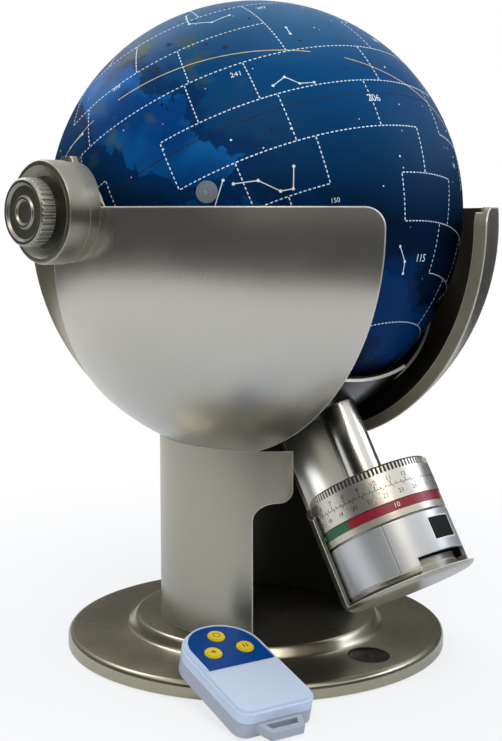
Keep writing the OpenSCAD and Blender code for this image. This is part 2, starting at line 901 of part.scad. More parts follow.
module globe_south() {
    color("#0d3f78") polar() half_globe(false);
}

module globe_north() {
    color("#0a1626") polar() {
        half_globe(true);
        tube(globe_r - globe_wall - 0.2, globe_r - globe_wall - 1.8, -4, 4);
        tube(globe_r - globe_wall + 0.5, globe_r - globe_wall - 1.8, 0, 4);
    }
}

module globe_hub() {
    hub_end = -yoke_r + 2;
    flange_w = 7;
    color("#1c1c1c") polar() {
        tube(hub_r, drive_d / 2, hub_end, hub_end + hub_len);
        tube(hub_r + flange_w, drive_d / 2, -globe_r + globe_wall + 1.2, -globe_r + globe_wall + 3.2);
    }
}

module lens_plug() {
    color("#7d8890") polar() plug_place() intersection() {
        translate([0, 0, globe_r - globe_wall - 0.5]) cylinder(d = plug_d, h = globe_wall + 1);
        sphere(globe_r + 0.2, $fn = 160);
    }
}

// ---------------------------------------------------------------- remote

module remote_place() {
    translate([remote_near[0], remote_near[1], 0]) rotate([0, 0, remote_yaw]) rotate([remote_lean, 0, 0])
        children();
}

// Outline of the remote, its near edge on the X axis, drawn in by inset.
module remote_outline(inset) {
    w = remote_w / 2 - inset;
    near_r = remote_near_r - inset / 2;
    far_r = remote_far_r - inset;
    l = remote_l - inset;
    for (s = [-1, 1]) {
        translate([s * (w - near_r), inset + near_r]) circle(near_r);
        translate([s * (w - far_r), l - far_r]) circle(far_r);
    }
    translate([-w + near_r, inset]) square([2 * (w - near_r), l - inset - far_r]);
    translate([-w, inset + near_r]) square([2 * w, l - inset - near_r - far_r]);
    translate([-w + far_r, inset + near_r]) square([2 * (w - far_r), l - inset - near_r]);
}

pad_w = 28;
pad_l = 25;
key_row = remote_l - 14;
key_places = [[0, key_row + 3.5], [-8.2, key_row - 8], [8.2, key_row - 8]];
remote_wall = 1.8;
remote_board_z = remote_wall + coin_t + 0.4;

module remote_bottom() {
    color("#b9c0d8") remote_place() {
        difference() {
            union() {
                linear_extrude(1.2) remote_outline(1.2);
                translate([0, 0, 1.2 - eps]) linear_extrude(shell_split - 1.2 + eps) remote_outline(0);
            }
            translate([0, 0, remote_wall]) linear_extrude(20) remote_outline(remote_wall);
        }
        translate([0, 0, 3]) linear_extrude(4) difference() {
            polygon([[-11.5, 1], [-8, -7.5], [8, -7.5], [11.5, 1]]);
            polygon([[-7.8, -1.4], [-6.4, -4.7], [6.4, -4.7], [7.8, -1.4]]);
        }
    }
}

module remote_top() {
    top = remote_t - panel_t;
    color("#c3cbe0") remote_place() difference() {
        union() {
            translate([0, 0, shell_split]) linear_extrude(top - 1.5 - shell_split) remote_outline(0);
            translate([0, 0, top - 1.5 - eps]) linear_extrude(1.5 + eps) remote_outline(1);
            translate([0, 0, top - eps]) linear_extrude(panel_t + eps) difference() {
                remote_outline(1.6);
                remote_outline(2.4);
                translate([-50, -10]) square([100, remote_l - panel_l + 10]);
            }
        }
        translate([0, 0, -1]) linear_extrude(top - 1.4 + 1) remote_outline(remote_wall);
        for (k = key_places) translate([k[0], k[1], 0]) cylinder(d = key_d + 2 * gap, h = 40);
    }
}

module remote_panel() {
    color("#003f88") remote_place() difference() {
        translate([0, 0, remote_t - panel_t]) linear_extrude(panel_t - 0.2) difference() {
            remote_outline(2.5);
            translate([-50, -10]) square([100, remote_l - panel_l + 10.2]);
        }
        for (k = key_places) translate([k[0], k[1], 0]) cylinder(d = key_d + 2 * gap, h = 40);
    }
}

module remote_board() {
    color("#1f6b3a") remote_place() translate([-remote_w / 2 + 4, 9, remote_board_z])
        cube([remote_w - 8, remote_l - 24, board_t]);
    color("#303030") remote_place() for (k = key_places)
        translate([k[0], k[1], remote_board_z + board_t - eps]) cylinder(d = 5, h = 1, $fn = 32);
}

module coin_cell() {
    color("#c4c4c4") remote_place() translate([0, remote_l * 0.4, remote_wall])
        cylinder(d = coin_d, h = coin_t);
}

module key_pad() {
    key_seat = remote_t - panel_t - 2.2 - key_travel - gap;
    color("#dcd9cf") remote_place() difference() {
        translate([0, 0, key_seat]) linear_extrude(1) intersection() {
            remote_outline(remote_wall + gap);
            translate([-pad_w / 2, key_row - 15]) square([pad_w, pad_l]);
        }
        for (k = key_places) translate([k[0], k[1], 0]) cylinder(d = key_stem_d + 0.4, h = remote_t);
    }
}

module key(n) {
    foot = remote_board_z + board_t + 1 + key_travel + gap;
    k = key_places[n];
    color("#f3d322") remote_place() translate([k[0], k[1], 0]) {
        translate([0, 0, remote_t - panel_t - 1.2]) cylinder(d = key_d, h = panel_t + 1.2 + key_up - 0.6);
        translate([0, 0, remote_t + key_up - 0.6 - eps]) cylinder(d = key_d - 1, h = 0.6);
        translate([0, 0, foot]) cylinder(d = key_stem_d, h = remote_t - panel_t - foot, $fn = 32);
    }
}

module star_key() {
    key(0);
}

module spin_key() {
    key(1);
}

module stop_key() {
    key(2);
}

// ---------------------------------------------------------------- assembly

base_cover();
base_plate();
rubber_feet();
battery_door();
dry_cells();
cell_contacts();
control_board();
receiver_window();
plate_screws();
column_shell();
column_lining();
left_arm();
right_arm();
rear_shell();
bowl_lining();
left_pivot_cup();
right_pivot_cup();
friction_washers();
shell_screws();
yoke_band();
left_trunnion_pin();
right_trunnion_pin();
cradle();
stem_tube();
stem_bush();
lamp_post();
lamp();
motor_housing();
housing_cap();
sensor_window();
season_band();
index_strip();
drive_motor();
motor_pinion();
drive_gear();
drive_shaft();
globe_hub();
globe_south();
globe_north();
lens_plug();
date_ring();
date_scale();
left_knob();
right_knob();
remote_top();
remote_bottom();
remote_panel();
remote_board();
coin_cell();
key_pad();
star_key();
spin_key();
stop_key();
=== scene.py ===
import json
import math
import random
import bmesh
import bpy
from mathutils import Matrix, Vector

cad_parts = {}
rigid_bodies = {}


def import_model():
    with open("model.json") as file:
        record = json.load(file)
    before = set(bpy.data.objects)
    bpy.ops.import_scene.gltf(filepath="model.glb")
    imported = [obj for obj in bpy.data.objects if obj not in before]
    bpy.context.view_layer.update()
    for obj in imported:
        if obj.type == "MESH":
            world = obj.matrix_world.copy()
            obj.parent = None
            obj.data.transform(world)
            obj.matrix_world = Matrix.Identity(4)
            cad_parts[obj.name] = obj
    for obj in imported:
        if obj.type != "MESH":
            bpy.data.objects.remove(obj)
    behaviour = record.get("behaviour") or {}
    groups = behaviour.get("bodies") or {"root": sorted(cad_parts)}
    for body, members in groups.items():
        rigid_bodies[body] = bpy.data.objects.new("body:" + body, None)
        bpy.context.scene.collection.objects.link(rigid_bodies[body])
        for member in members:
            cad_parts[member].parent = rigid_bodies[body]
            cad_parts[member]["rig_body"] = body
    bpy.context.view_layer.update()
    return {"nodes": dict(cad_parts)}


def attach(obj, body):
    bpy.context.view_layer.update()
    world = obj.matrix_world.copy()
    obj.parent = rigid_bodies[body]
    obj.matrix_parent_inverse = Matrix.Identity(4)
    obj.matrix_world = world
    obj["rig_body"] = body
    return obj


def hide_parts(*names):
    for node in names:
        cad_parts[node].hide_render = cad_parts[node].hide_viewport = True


# Looks of a home star projector. All is in metres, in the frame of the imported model.

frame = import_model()
nodes = frame["nodes"]
print("frame loaded,", len(nodes), "nodes")

mm = 0.001
globeCentre = Vector((0, 0, 216.5 * mm))
bowlCentre = Vector((0, -5.5 * mm, 209.6 * mm))
restTilt = 31
# z of the polar frame runs up the globe's axis, and the stem hangs down it
polarPlace = Matrix.Translation(globeCentre) @ Matrix.Rotation(math.radians(-restTilt), 4, "X")


def hexColour(text):
    # sRGB hex to the linear colour that the shader wants
    parts = [int(text[i:i + 2], 16) / 255 for i in (1, 3, 5)]
    return [c / 12.92 if c <= 0.04045 else ((c + 0.055) / 1.055) ** 2.4 for c in parts] + [1]


def addNode(tree, kind, settings=None, links=None):
    # a name that the node has is set on the node, any other name or number is a socket
    node = tree.nodes.new(kind)
    for name, value in (settings or {}).items():
        if isinstance(name, str) and hasattr(node, name):
            setattr(node, name, value)
        else:
            node.inputs[name].default_value = value
    for name, source in (links or {}).items():
        tree.links.new(source, node.inputs[name])
    return node


def newMaterial(name):
    material = bpy.data.materials.new(name)
    material.use_nodes = True
    tree = material.node_tree
    tree.nodes.clear()
    shader = addNode(tree, "ShaderNodeBsdfPrincipled")
    addNode(tree, "ShaderNodeOutputMaterial", links={"Surface": shader.outputs[0]})
    place = addNode(tree, "ShaderNodeTexCoord").outputs["Object"]
    return material, tree, shader, place


def speckle(tree, place, size, low=0.3, high=0.7):
    # noise with grains of a real size, stretched to run from 0 to 1
    grains = addNode(tree, "ShaderNodeTexNoise", {"Scale": 1 / size, "Detail": 2}, {"Vector": place})
    return addNode(tree, "ShaderNodeMapRange", {1: low, 2: high}, {0: grains.outputs[0]}).outputs[0]


def layered(tree, lowest, layers):
    # colours laid over the lowest one, each with its share, and each one hex text or a socket
    for share, tone in layers:
        settings, links = {"data_type": "RGBA"}, {0: share}
        for socket, colour in ((6, lowest), (7, tone)):
            if isinstance(colour, str):
                settings[socket] = hexColour(colour)
            else:
                links[socket] = colour
        lowest = addNode(tree, "ShaderNodeMix", settings, links).outputs[2]
    return lowest


# what the painted finishes share: size and share of the slow clouds, the usual bump and its depth
coatFacts = {"cloud": 40 * mm, "cloudShare": 0.4, "bump": 0.04, "bumpDeep": 0.2 * mm}


def paint(tree, shader, place, facts):
    # two close tones in fine grains and slow clouds, uneven gloss and a faint bump
    grain = speckle(tree, place, facts["grain"])
    slow = speckle(tree, place, coatFacts["cloud"])
    both = addNode(tree, "ShaderNodeMix", {0: coatFacts["cloudShare"]}, {2: grain, 3: slow}).outputs[0]
    darker, paler = facts["tones"]
    tree.links.new(layered(tree, darker, [(both, paler)]), shader.inputs["Base Color"])
    gloss = addNode(tree, "ShaderNodeMapRange", {3: facts["rough"][0], 4: facts["rough"][1]}, {0: slow})
    tree.links.new(gloss.outputs[0], shader.inputs["Roughness"])
    bump = addNode(tree, "ShaderNodeBump", {"Strength": facts.get("bump", coatFacts["bump"]),
                                            "Distance": coatFacts["bumpDeep"]}, {"Height": grain})
    tree.links.new(bump.outputs[0], shader.inputs["Normal"])
    for socket, value in facts.get("sockets", {}).items():
        shader.inputs[socket].default_value = value


finishes = {
    # metallic lacquer sprayed on moulded ABS: wide soft reflections and a fine flake
    "silverLacquer": {"tones": ("#bab7ae", "#c6c3bb"), "grain": 0.4 * mm, "rough": (0.27, 0.32), "bump": 0.01,
                      "sockets": {"Metallic": 0.93}},
    # a greyer copy of the lacquer on the column and the motor's end cap: painted shade for parts that stand
    # under the bowl and the globe
    "shadedColumnLacquer": {"tones": ("#a09d92", "#adaa9e"), "grain": 0.4 * mm, "rough": (0.27, 0.33), "bump": 0.01,
                      "sockets": {"Metallic": 0.93}},
    # the same lacquer on the rear shell behind the parting line, darker and a shade duller: painted shade for
    # the dark strip along it
    "shadedRearLacquer": {"tones": ("#98927f", "#a69f8d"), "grain": 0.4 * mm, "rough": (0.3, 0.36), "bump": 0.02,
                    "sockets": {"Metallic": 0.92}},
    # the cradle's thinner coat: a little darker than the arms'
    "cradleLacquer": {"tones": ("#a5a297", "#b2afa4"), "grain": 0.4 * mm, "rough": (0.27, 0.32), "bump": 0.01,
                      "sockets": {"Metallic": 0.9}},
    # a brighter, cooler copy of the lacquer on the motor housing, less metallic so its reflections stay
    # faint: painted light for the pale bluish reflection that the housing shows
    "housingPaintedSheen": {"tones": ("#c3c6c8", "#d1d4d5"), "grain": 0.4 * mm, "rough": (0.3, 0.36), "bump": 0.01,
                       "sockets": {"Metallic": 0.65}},
    # a darker, glossier batch on the base, which shows as bright lines along its ridges
    "baseLacquer": {"tones": ("#a6a18e", "#b3ae9b"), "grain": 0.4 * mm, "rough": (0.24, 0.3), "bump": 0.02,
                    "sockets": {"Metallic": 0.95}},
    # satin lacquer of knobs and cups, handled a lot: its reflections are blurred
    "knobLacquer": {"tones": ("#8a887d", "#98968b"), "grain": 0.4 * mm, "rough": (0.32, 0.4), "bump": 0.03,
                    "sockets": {"Metallic": 0.92}},
    # the side faces of the shells, sprayed at a slant: thin, satin and a little brown, and less metallic than
    # the face so that the lamps make them read as lit: partly painted light
    "sideLacquerPaintedLit": {"tones": ("#8d8876", "#9b9684"), "grain": 0.4 * mm, "rough": (0.4, 0.48), "bump": 0.02,
                    "sockets": {"Metallic": 0.35}},
    # painted highlight: a pale coat on rounded edges that draws a light line along them
    "paleEdgeHighlight": {"tones": ("#eceadf", "#f7f5ec"), "grain": 0.4 * mm, "rough": (0.35, 0.42), "bump": 0.01,
                    "sockets": {"Metallic": 0.4}},
    # glossy black ABS, polished in the mould
    "blackMoulding": {"tones": ("#050505", "#0a0a09"), "grain": 0.4 * mm, "rough": (0.2, 0.28), "bump": 0.02,
                      "sockets": {"IOR": 1.5}},
    # brown-black ABS inside the bowl and the column, with a dim sheen; its tone is raised as painted fill
    # light in their shaded insides
    "innerMouldingPaintedFill": {"tones": ("#36332d", "#423f38"), "grain": 0.4 * mm, "rough": (0.28, 0.38), "bump": 0.05,
                      "sockets": {"IOR": 1.45}},
    # spark-eroded black ABS: matte, with a grain that catches side light; the painted shade down in the
    # knurls looks the same
    "darkMoulding": {"tones": ("#141414", "#1e1d1c"), "grain": 0.3 * mm, "rough": (0.5, 0.6), "bump": 0.3},
    # moulded rubber of the feet: dead matte
    "blackRubber": {"tones": ("#121212", "#1b1b1b"), "grain": 0.4 * mm, "rough": (0.75, 0.85), "bump": 0.4},
    # smoked acrylic: near black, a thin sheen only
    "smokedWindow": {"tones": ("#040405", "#08080a"), "grain": 2 * mm, "rough": (0.3, 0.36), "bump": 0,
                     "sockets": {"IOR": 1.3}},
    # dark grey acrylic of the receiver in the base, with a soft sheen
    "receiverAcrylic": {"tones": ("#0b0b0d", "#131316"), "grain": 2 * mm, "rough": (0.22, 0.3), "bump": 0,
                        "sockets": {"IOR": 1.45}},
    # plated steel tube: bright, with soft lengthwise streaks
    "polishedSteel": {"tones": ("#cdccc6", "#dbdad4"), "grain": 0.8 * mm, "rough": (0.2, 0.26), "bump": 0.02,
                      "sockets": {"Metallic": 1}},
    # zinc or nickel plate on screws, pins, shaft, motor and coin cell: grey and satin
    "platedSteel": {"tones": ("#9c9a96", "#b0aeaa"), "grain": 0.4 * mm, "rough": (0.28, 0.38),
                    "sockets": {"Metallic": 1}},
    # turned brass of the pinion
    "machinedBrass": {"tones": ("#b8923e", "#cba553"), "grain": 0.4 * mm, "rough": (0.25, 0.35),
                      "sockets": {"Metallic": 1}},
    # pale plated brass of the cell springs
    "springBrass": {"tones": ("#b9a878", "#cbbb8c"), "grain": 0.4 * mm, "rough": (0.3, 0.4),
                    "sockets": {"Metallic": 1}},
    # natural acetal of the gear and the bushes: waxy and milky
    "whiteAcetal": {"tones": ("#ddd8ca", "#e8e4d8"), "grain": 0.6 * mm, "rough": (0.38, 0.46),
                    "sockets": {"Subsurface Weight": 0.1, "Subsurface Scale": 1 * mm}},
    # shrunk film round the dry cells, with a slow change of tone
    "cellWrap": {"tones": ("#1f5f8f", "#2f74a4"), "grain": 1.5 * mm, "rough": (0.2, 0.3)},
    # green solder mask over copper, mottled by the tracks below
    "solderMask": {"tones": ("#0f4a26", "#1a6034"), "grain": 1.2 * mm, "rough": (0.25, 0.35)},
    # milky silicone of the key pad
    "siliconePad": {"tones": ("#cfccc0", "#dad7cc"), "grain": 0.5 * mm, "rough": (0.6, 0.7)},
    # lavender grey ABS with a fine spark grain, which softens its highlights
    "lavenderMoulding": {"tones": ("#c3d4ea", "#cfdef2"), "grain": 0.3 * mm, "rough": (0.3, 0.38),
                         "bump": 0.1},
    # plain grey ABS of the remote's lower half, which sets off the lavender top
    "greyMoulding": {"tones": ("#a6acb8", "#b2b8c4"), "grain": 0.3 * mm, "rough": (0.32, 0.4), "bump": 0.1},
    # screen-printed blue film under the remote's buttons
    "blueLabel": {"tones": ("#023c82", "#064792"), "grain": 0.6 * mm, "rough": (0.28, 0.36),
                  "sockets": {"IOR": 1.2}},
    # moulded yellow ABS of the buttons
    "yellowButton": {"tones": ("#dfc41e", "#ecd332"), "grain": 0.5 * mm, "rough": (0.3, 0.38)},
    # pad-printed marks on the buttons
    "buttonInk": {"tones": ("#3a3210", "#4a4016"), "grain": 0.3 * mm, "rough": (0.5, 0.6)},
    # bright satin coat of the date ring, under the printed scale
    "dialSilver": {"tones": ("#cfccc2", "#dbd8cf"), "grain": 0.4 * mm, "rough": (0.26, 0.32),
                   "sockets": {"Metallic": 0.85}},
    # black pad print of the scale, a little worn
    "dialInk": {"tones": ("#0b0b0b", "#1c1b19"), "grain": 0.3 * mm, "rough": (0.45, 0.55)},
    # white pad print on the season band and round the window
    "whiteInk": {"tones": ("#dcd9d0", "#eae7df"), "grain": 0.3 * mm, "rough": (0.4, 0.5)},
    # pale metallic lacquer of the index strip
    "paleStrip": {"tones": ("#c4bfae", "#d2cdbd"), "grain": 0.5 * mm, "rough": (0.25, 0.32),
                  "sockets": {"Metallic": 0.6}},
    # frosted clear plug: grey, flat and slightly cloudy
    "clearPlug": {"tones": ("#646f78", "#76818a"), "grain": 0.8 * mm, "rough": (0.4, 0.5)},
    # pale blue gravure ink of the map's lines, figures and numbers, broken up by its screen
    "mapInk": {"tones": ("#a9cbe2", "#f2f8fb"), "grain": 2.2 * mm, "rough": (0.4, 0.5)},
    # ochre ink of the sun's yearly path
    "eclipticInk": {"tones": ("#b79a5e", "#ddc88c"), "grain": 3 * mm, "rough": (0.4, 0.5)},
    # black discs of painted shade for the dark inside of open pin holes, and the joint of the half globes,
    # dark in its own right
    "holeShadeAndJoint": {"tones": ("#020203", "#050507"), "grain": 0.5 * mm, "rough": (0.8, 0.9)},
}

# width of the painted highlight along the edges, for the coats that show one
edgeHighlightWidths = {"armCoat": 1.3 * mm, "shadedColumnLacquer": 0.8 * mm, "cradleLacquer": 0.6 * mm,
             "knobLacquer": 0.35 * mm}
# cosine of the bend at which the painted highlight starts, and at which it is full
edgeHighlightBend = (0.99, 0.93)


def drawnEdges(tree, place, body, width):
    # lays a painted highlight, a pale line, along sharp edges over the body's own shader
    pale = addNode(tree, "ShaderNodeBsdfPrincipled")
    paint(tree, pale, place, finishes["paleEdgeHighlight"])
    rounded = addNode(tree, "ShaderNodeBevel", {"samples": 6, "Radius": width}).outputs[0]
    tree.links.new(rounded, pale.inputs["Normal"])
    flat = addNode(tree, "ShaderNodeNewGeometry").outputs["Normal"]
    along = addNode(tree, "ShaderNodeVectorMath", {"operation": "DOT_PRODUCT"}, {0: rounded, 1: flat})
    near = addNode(tree, "ShaderNodeMapRange", {1: edgeHighlightBend[0], 2: edgeHighlightBend[1]}, {0: along.outputs["Value"]})
    mixed = addNode(tree, "ShaderNodeMixShader", links={0: near.outputs[0], 1: body, 2: pale.outputs[0]})
    tree.links.new(mixed.outputs[0], tree.nodes["Material Output"].inputs["Surface"])


def coated(name):
    material, tree, shader, place = newMaterial(name)
    paint(tree, shader, place, finishes[name])
    if name in edgeHighlightWidths:
        drawnEdges(tree, place, shader.outputs[0], edgeHighlightWidths[name])
    return material


# cosine between a face and the way out of the shell: a side is nearer to 0 than the first, and an inner
# face is below the second
shellFaces = {"side": 0.8, "inner": -0.6}


def shellCoat(name, outer, centre, edgeFrom=0):
    # a shell sprayed on its outer face and sides, or on its edges alone past a radius, black within; the
    # sides take a less metallic copy of the lacquer, partly painted light, unless only the edges are sprayed
    material, tree, shader, place = newMaterial(name)
    paint(tree, shader, place, finishes[outer])
    black = addNode(tree, "ShaderNodeBsdfPrincipled")
    paint(tree, black, place, finishes["blackMoulding"])
    spoke = addNode(tree, "ShaderNodeVectorMath", {"operation": "SUBTRACT", 1: centre}, {0: place}).outputs[0]
    way = addNode(tree, "ShaderNodeVectorMath", {"operation": "NORMALIZE"}, {0: spoke}).outputs[0]
    normal = addNode(tree, "ShaderNodeTexCoord").outputs["Normal"]
    facing = addNode(tree, "ShaderNodeVectorMath", {"operation": "DOT_PRODUCT"},
                     {0: way, 1: normal}).outputs["Value"]
    across = addNode(tree, "ShaderNodeMath", {"operation": "ABSOLUTE"}, {0: facing}).outputs[0]
    onSide = addNode(tree, "ShaderNodeMath", {"operation": "LESS_THAN", 1: shellFaces["side"]},
                     {0: across}).outputs[0]
    if edgeFrom:
        length = addNode(tree, "ShaderNodeVectorMath", {"operation": "LENGTH"}, {0: spoke}).outputs["Value"]
        outside = addNode(tree, "ShaderNodeMath", {"operation": "GREATER_THAN", 1: edgeFrom},
                          {0: length}).outputs[0]
        silver = addNode(tree, "ShaderNodeMath", {"operation": "MULTIPLY"}, {0: onSide, 1: outside})
        sprayed = shader
    else:
        silver = addNode(tree, "ShaderNodeMath", {"operation": "GREATER_THAN", 1: shellFaces["inner"]},
                         {0: facing})
        side = addNode(tree, "ShaderNodeBsdfPrincipled")
        paint(tree, side, place, finishes["sideLacquerPaintedLit"])
        sprayed = addNode(tree, "ShaderNodeMixShader",
                          links={0: onSide, 1: shader.outputs[0], 2: side.outputs[0]})
    mixed = addNode(tree, "ShaderNodeMixShader",
                    links={0: silver.outputs[0], 1: black.outputs[0], 2: sprayed.outputs[0]}).outputs[0]
    tree.links.new(mixed, tree.nodes["Material Output"].inputs["Surface"])
    if name in edgeHighlightWidths:
        drawnEdges(tree, place, mixed, edgeHighlightWidths[name])
    return material


def polarSpot(tree, place):
    # the surface's place in the polar frame
    back = polarPlace.inverted()
    moved = {"Location": back.to_translation(), "Rotation": back.to_euler()}
    return addNode(tree, "ShaderNodeMapping", moved, {"Vector": place}).outputs[0]


globeFacts = {
    # the bright star drift: its pole in the polar frame, half its width, and how far its shores are torn
    "drift": (-0.451, 0.764, -0.461), "halfWidth": 13 * mm, "torn": 62 * mm, "shoreBlur": 1 * mm,
    "tearing": {"Scale": 24, "Detail": 7, "Roughness": 0.6, "Distortion": 0.5},
    # the halo round the drift: where it starts and is full, past the shore, and its share
    "halo": (9 * mm, 5 * mm), "haloShare": 0.75,
    # heights over the globe's centre between which the ground gets paler, as painted light from above, and
    # the painted sheen grows
    "high": (-5 * mm, 60 * mm), "paintedSheen": (62 * mm, 104 * mm),
    # the ground's clouds, and the brighter patches in the drift, with the ends of their stretch
    "clouds": 45 * mm, "cloudShare": 0.3, "vivid": (26 * mm, 0.4, 0.62),
    # the olive traces: their middle in the polar frame, where they start and are full, share and patches
    "olive": (-79 * mm, -38 * mm, 46 * mm), "oliveReach": (55 * mm, 20 * mm), "oliveShare": 0.6,
    "olivePatch": (14 * mm, 0.56, 0.66),
    "sockets": {"Roughness": 0.42, "Specular IOR Level": 0.02},
}
# the low tones are painted shade towards the bottom, the high ones painted light towards the top, and the
# palest a painted sheen near the top
globeTones = {"low": "#03101f", "high": "#0b4777", "paintedSheen": "#46759a", "clouds": "#06305c", "halo": "#042a57",
              "driftShaded": "#06305f", "driftLit": ("#04407f", "#0e6bb2"), "olive": "#4c5a2c"}


def globePrint():
    # gravure print under matte lacquer: teal to navy ground, a torn bright star drift, olive traces; painted
    # light makes ground and drift paler towards the top, with a painted sheen there, and painted shade makes
    # them darker towards the bottom
    material, tree, shader, place = newMaterial("globePrint")
    spot = polarSpot(tree, place)
    across = addNode(tree, "ShaderNodeVectorMath", {"operation": "DOT_PRODUCT", 1: globeFacts["drift"]},
                     {0: spot})
    away = addNode(tree, "ShaderNodeMath", {"operation": "ABSOLUTE"}, {0: across.outputs["Value"]})
    torn = addNode(tree, "ShaderNodeTexNoise", globeFacts["tearing"], {"Vector": spot})
    reach = addNode(tree, "ShaderNodeMath", {"operation": "MULTIPLY_ADD", 1: -globeFacts["torn"]},
                    {0: torn.outputs[0], 2: away.outputs[0]}).outputs[0]
    shore = globeFacts["halfWidth"] - globeFacts["torn"] / 2
    drift = addNode(tree, "ShaderNodeMapRange", {1: shore, 2: shore - globeFacts["shoreBlur"]}, {0: reach})
    start, full = globeFacts["halo"]
    haloRange = {1: shore + start, 2: shore + full, 4: globeFacts["haloShare"]}
    halo = addNode(tree, "ShaderNodeMapRange", haloRange, {0: reach})
    # painted light from above: shares of the paler ground and of the painted sheen, by height
    height = addNode(tree, "ShaderNodeSeparateXYZ", links={0: place}).outputs["Z"]
    high, paintedSheen = [addNode(tree, "ShaderNodeMapRange", {1: globeCentre.z + low, 2: globeCentre.z + top},
                           {0: height}).outputs[0]
                   for low, top in (globeFacts["high"], globeFacts["paintedSheen"])]
    clouds = addNode(tree, "ShaderNodeMath", {"operation": "MULTIPLY", 1: globeFacts["cloudShare"]},
                     {0: speckle(tree, spot, globeFacts["clouds"])})
    near = addNode(tree, "ShaderNodeVectorMath", {"operation": "DISTANCE", 1: globeFacts["olive"]}, {0: spot})
    start, full = globeFacts["oliveReach"]
    close = addNode(tree, "ShaderNodeMapRange", {1: start, 2: full, 4: globeFacts["oliveShare"]},
                    {0: near.outputs["Value"]})
    patchy = speckle(tree, spot, *globeFacts["olivePatch"])
    olive = addNode(tree, "ShaderNodeMath", {"operation": "MULTIPLY"}, {0: close.outputs[0], 1: patchy})
    quiet, lit = globeTones["driftLit"]
    vivid = layered(tree, quiet, [(speckle(tree, spot, *globeFacts["vivid"]), lit)])
    # the drift too is darker below and paler above, as painted shade and light
    bright = layered(tree, globeTones["driftShaded"], [(high, vivid)])
    printed = layered(tree, globeTones["low"], [
        (high, globeTones["high"]), (paintedSheen, globeTones["paintedSheen"]), (clouds.outputs[0], globeTones["clouds"]),
        (halo.outputs[0], globeTones["halo"]), (drift.outputs[0], bright),
        (olive.outputs[0], globeTones["olive"])])
    tree.links.new(printed, shader.inputs["Base Color"])
    for socket, value in globeFacts["sockets"].items():
        shader.inputs[socket].default_value = value
    return material


# the band's turn in degrees, and each season's tone with the share of the band where it ends
seasonFacts = {"turn": -10, "tones": ("#8f0f2a", "#b0862c", "#2a4f86", "#0c6b3c"), "ends": (0.29, 0.54, 0.77),
               "worn": "#d8d4cc", "wear": 1 * mm, "rough": 0.34}


def seasonPrint():
    # four seasons round the band, one printed colour each under clear lacquer
    material, tree, shader, place = newMaterial("seasonPrint")
    spun = addNode(tree, "ShaderNodeVectorRotate", {"rotation_type": "Z_AXIS",
                                                    "Angle": math.radians(seasonFacts["turn"])},
                   {"Vector": polarSpot(tree, place)})
    around = addNode(tree, "ShaderNodeTexGradient", {"gradient_type": "RADIAL"}, {"Vector": spun.outputs[0]})
    ramp = addNode(tree, "ShaderNodeValToRGB", links={0: around.outputs[0]})
    ramp.color_ramp.interpolation = "CONSTANT"
    stops = ramp.color_ramp.elements
    stops[1].position = seasonFacts["ends"][0]
    for at in seasonFacts["ends"][1:]:
        stops.new(at)
    for stop, tone in zip(stops, seasonFacts["tones"]):
        stop.color = hexColour(tone)
    worn = addNode(tree, "ShaderNodeMix", {"data_type": "RGBA", "blend_type": "MULTIPLY",
                                           7: hexColour(seasonFacts["worn"])},
                   {0: speckle(tree, place, seasonFacts["wear"]), 6: ramp.outputs[0]})
    tree.links.new(worn.outputs[2], shader.inputs["Base Color"])
    shader.inputs["Roughness"].default_value = seasonFacts["rough"]
    return material


# painted shade lies deeper than this radius, and below the ring's end face
ringFacts = {"knurlShadeUnder": 28.95 * mm, "knurlShadeBelow": -145.15 * mm}


def ringCoat():
    # satin silver with painted shade down in the knurls, which makes them read as dark lines
    material, tree, shader, place = newMaterial("ringCoat")
    paint(tree, shader, place, finishes["dialSilver"])
    knurlShade = addNode(tree, "ShaderNodeBsdfPrincipled")
    paint(tree, knurlShade, place, finishes["darkMoulding"])
    spot = addNode(tree, "ShaderNodeSeparateXYZ", links={0: polarSpot(tree, place)}).outputs
    flat = addNode(tree, "ShaderNodeCombineXYZ", links={0: spot[0], 1: spot[1]}).outputs[0]
    out = addNode(tree, "ShaderNodeVectorMath", {"operation": "LENGTH"}, {0: flat}).outputs["Value"]
    limits = ((out, ringFacts["knurlShadeUnder"]), (spot[2], ringFacts["knurlShadeBelow"]))
    sunk, below = [addNode(tree, "ShaderNodeMath", {"operation": "LESS_THAN", 1: limit}, {0: value})
                   for value, limit in limits]
    both = addNode(tree, "ShaderNodeMath", {"operation": "MULTIPLY"},
                   {0: sunk.outputs[0], 1: below.outputs[0]})
    mixed = addNode(tree, "ShaderNodeMixShader",
                    links={0: both.outputs[0], 1: shader.outputs[0], 2: knurlShade.outputs[0]})
    tree.links.new(mixed.outputs[0], tree.nodes["Material Output"].inputs["Surface"])
    return material


glassFacts = {"sockets": {"Base Color": hexColour("#f2efe0"), "Transmission Weight": 0.8, "Roughness": 0.05},
              "wave": 1 * mm, "bump": {"Strength": 0.02, "Distance": 0.1 * mm}}


def lampGlass():
    # clear glass of the lamp's bulb, with a faint waviness
    material, tree, shader, place = newMaterial("lampGlass")
    for socket, value in glassFacts["sockets"].items():
        shader.inputs[socket].default_value = value
    bump = addNode(tree, "ShaderNodeBump", glassFacts["bump"],
                   {"Height": speckle(tree, place, glassFacts["wave"])})
    tree.links.new(bump.outputs[0], shader.inputs["Normal"])
    return material


# coats that show only as a part of a shell's finish or of its edges
shellParts = ("silverLacquer", "shadedRearLacquer", "sideLacquerPaintedLit", "paleEdgeHighlight", "blackMoulding")
look = {name: coated(name) for name in finishes if name not in shellParts}
look["globePrint"] = globePrint()
look["seasonPrint"] = seasonPrint()
look["ringCoat"] = ringCoat()
look["lampGlass"] = lampGlass()
look["armCoat"] = shellCoat("armCoat", "silverLacquer", bowlCentre)
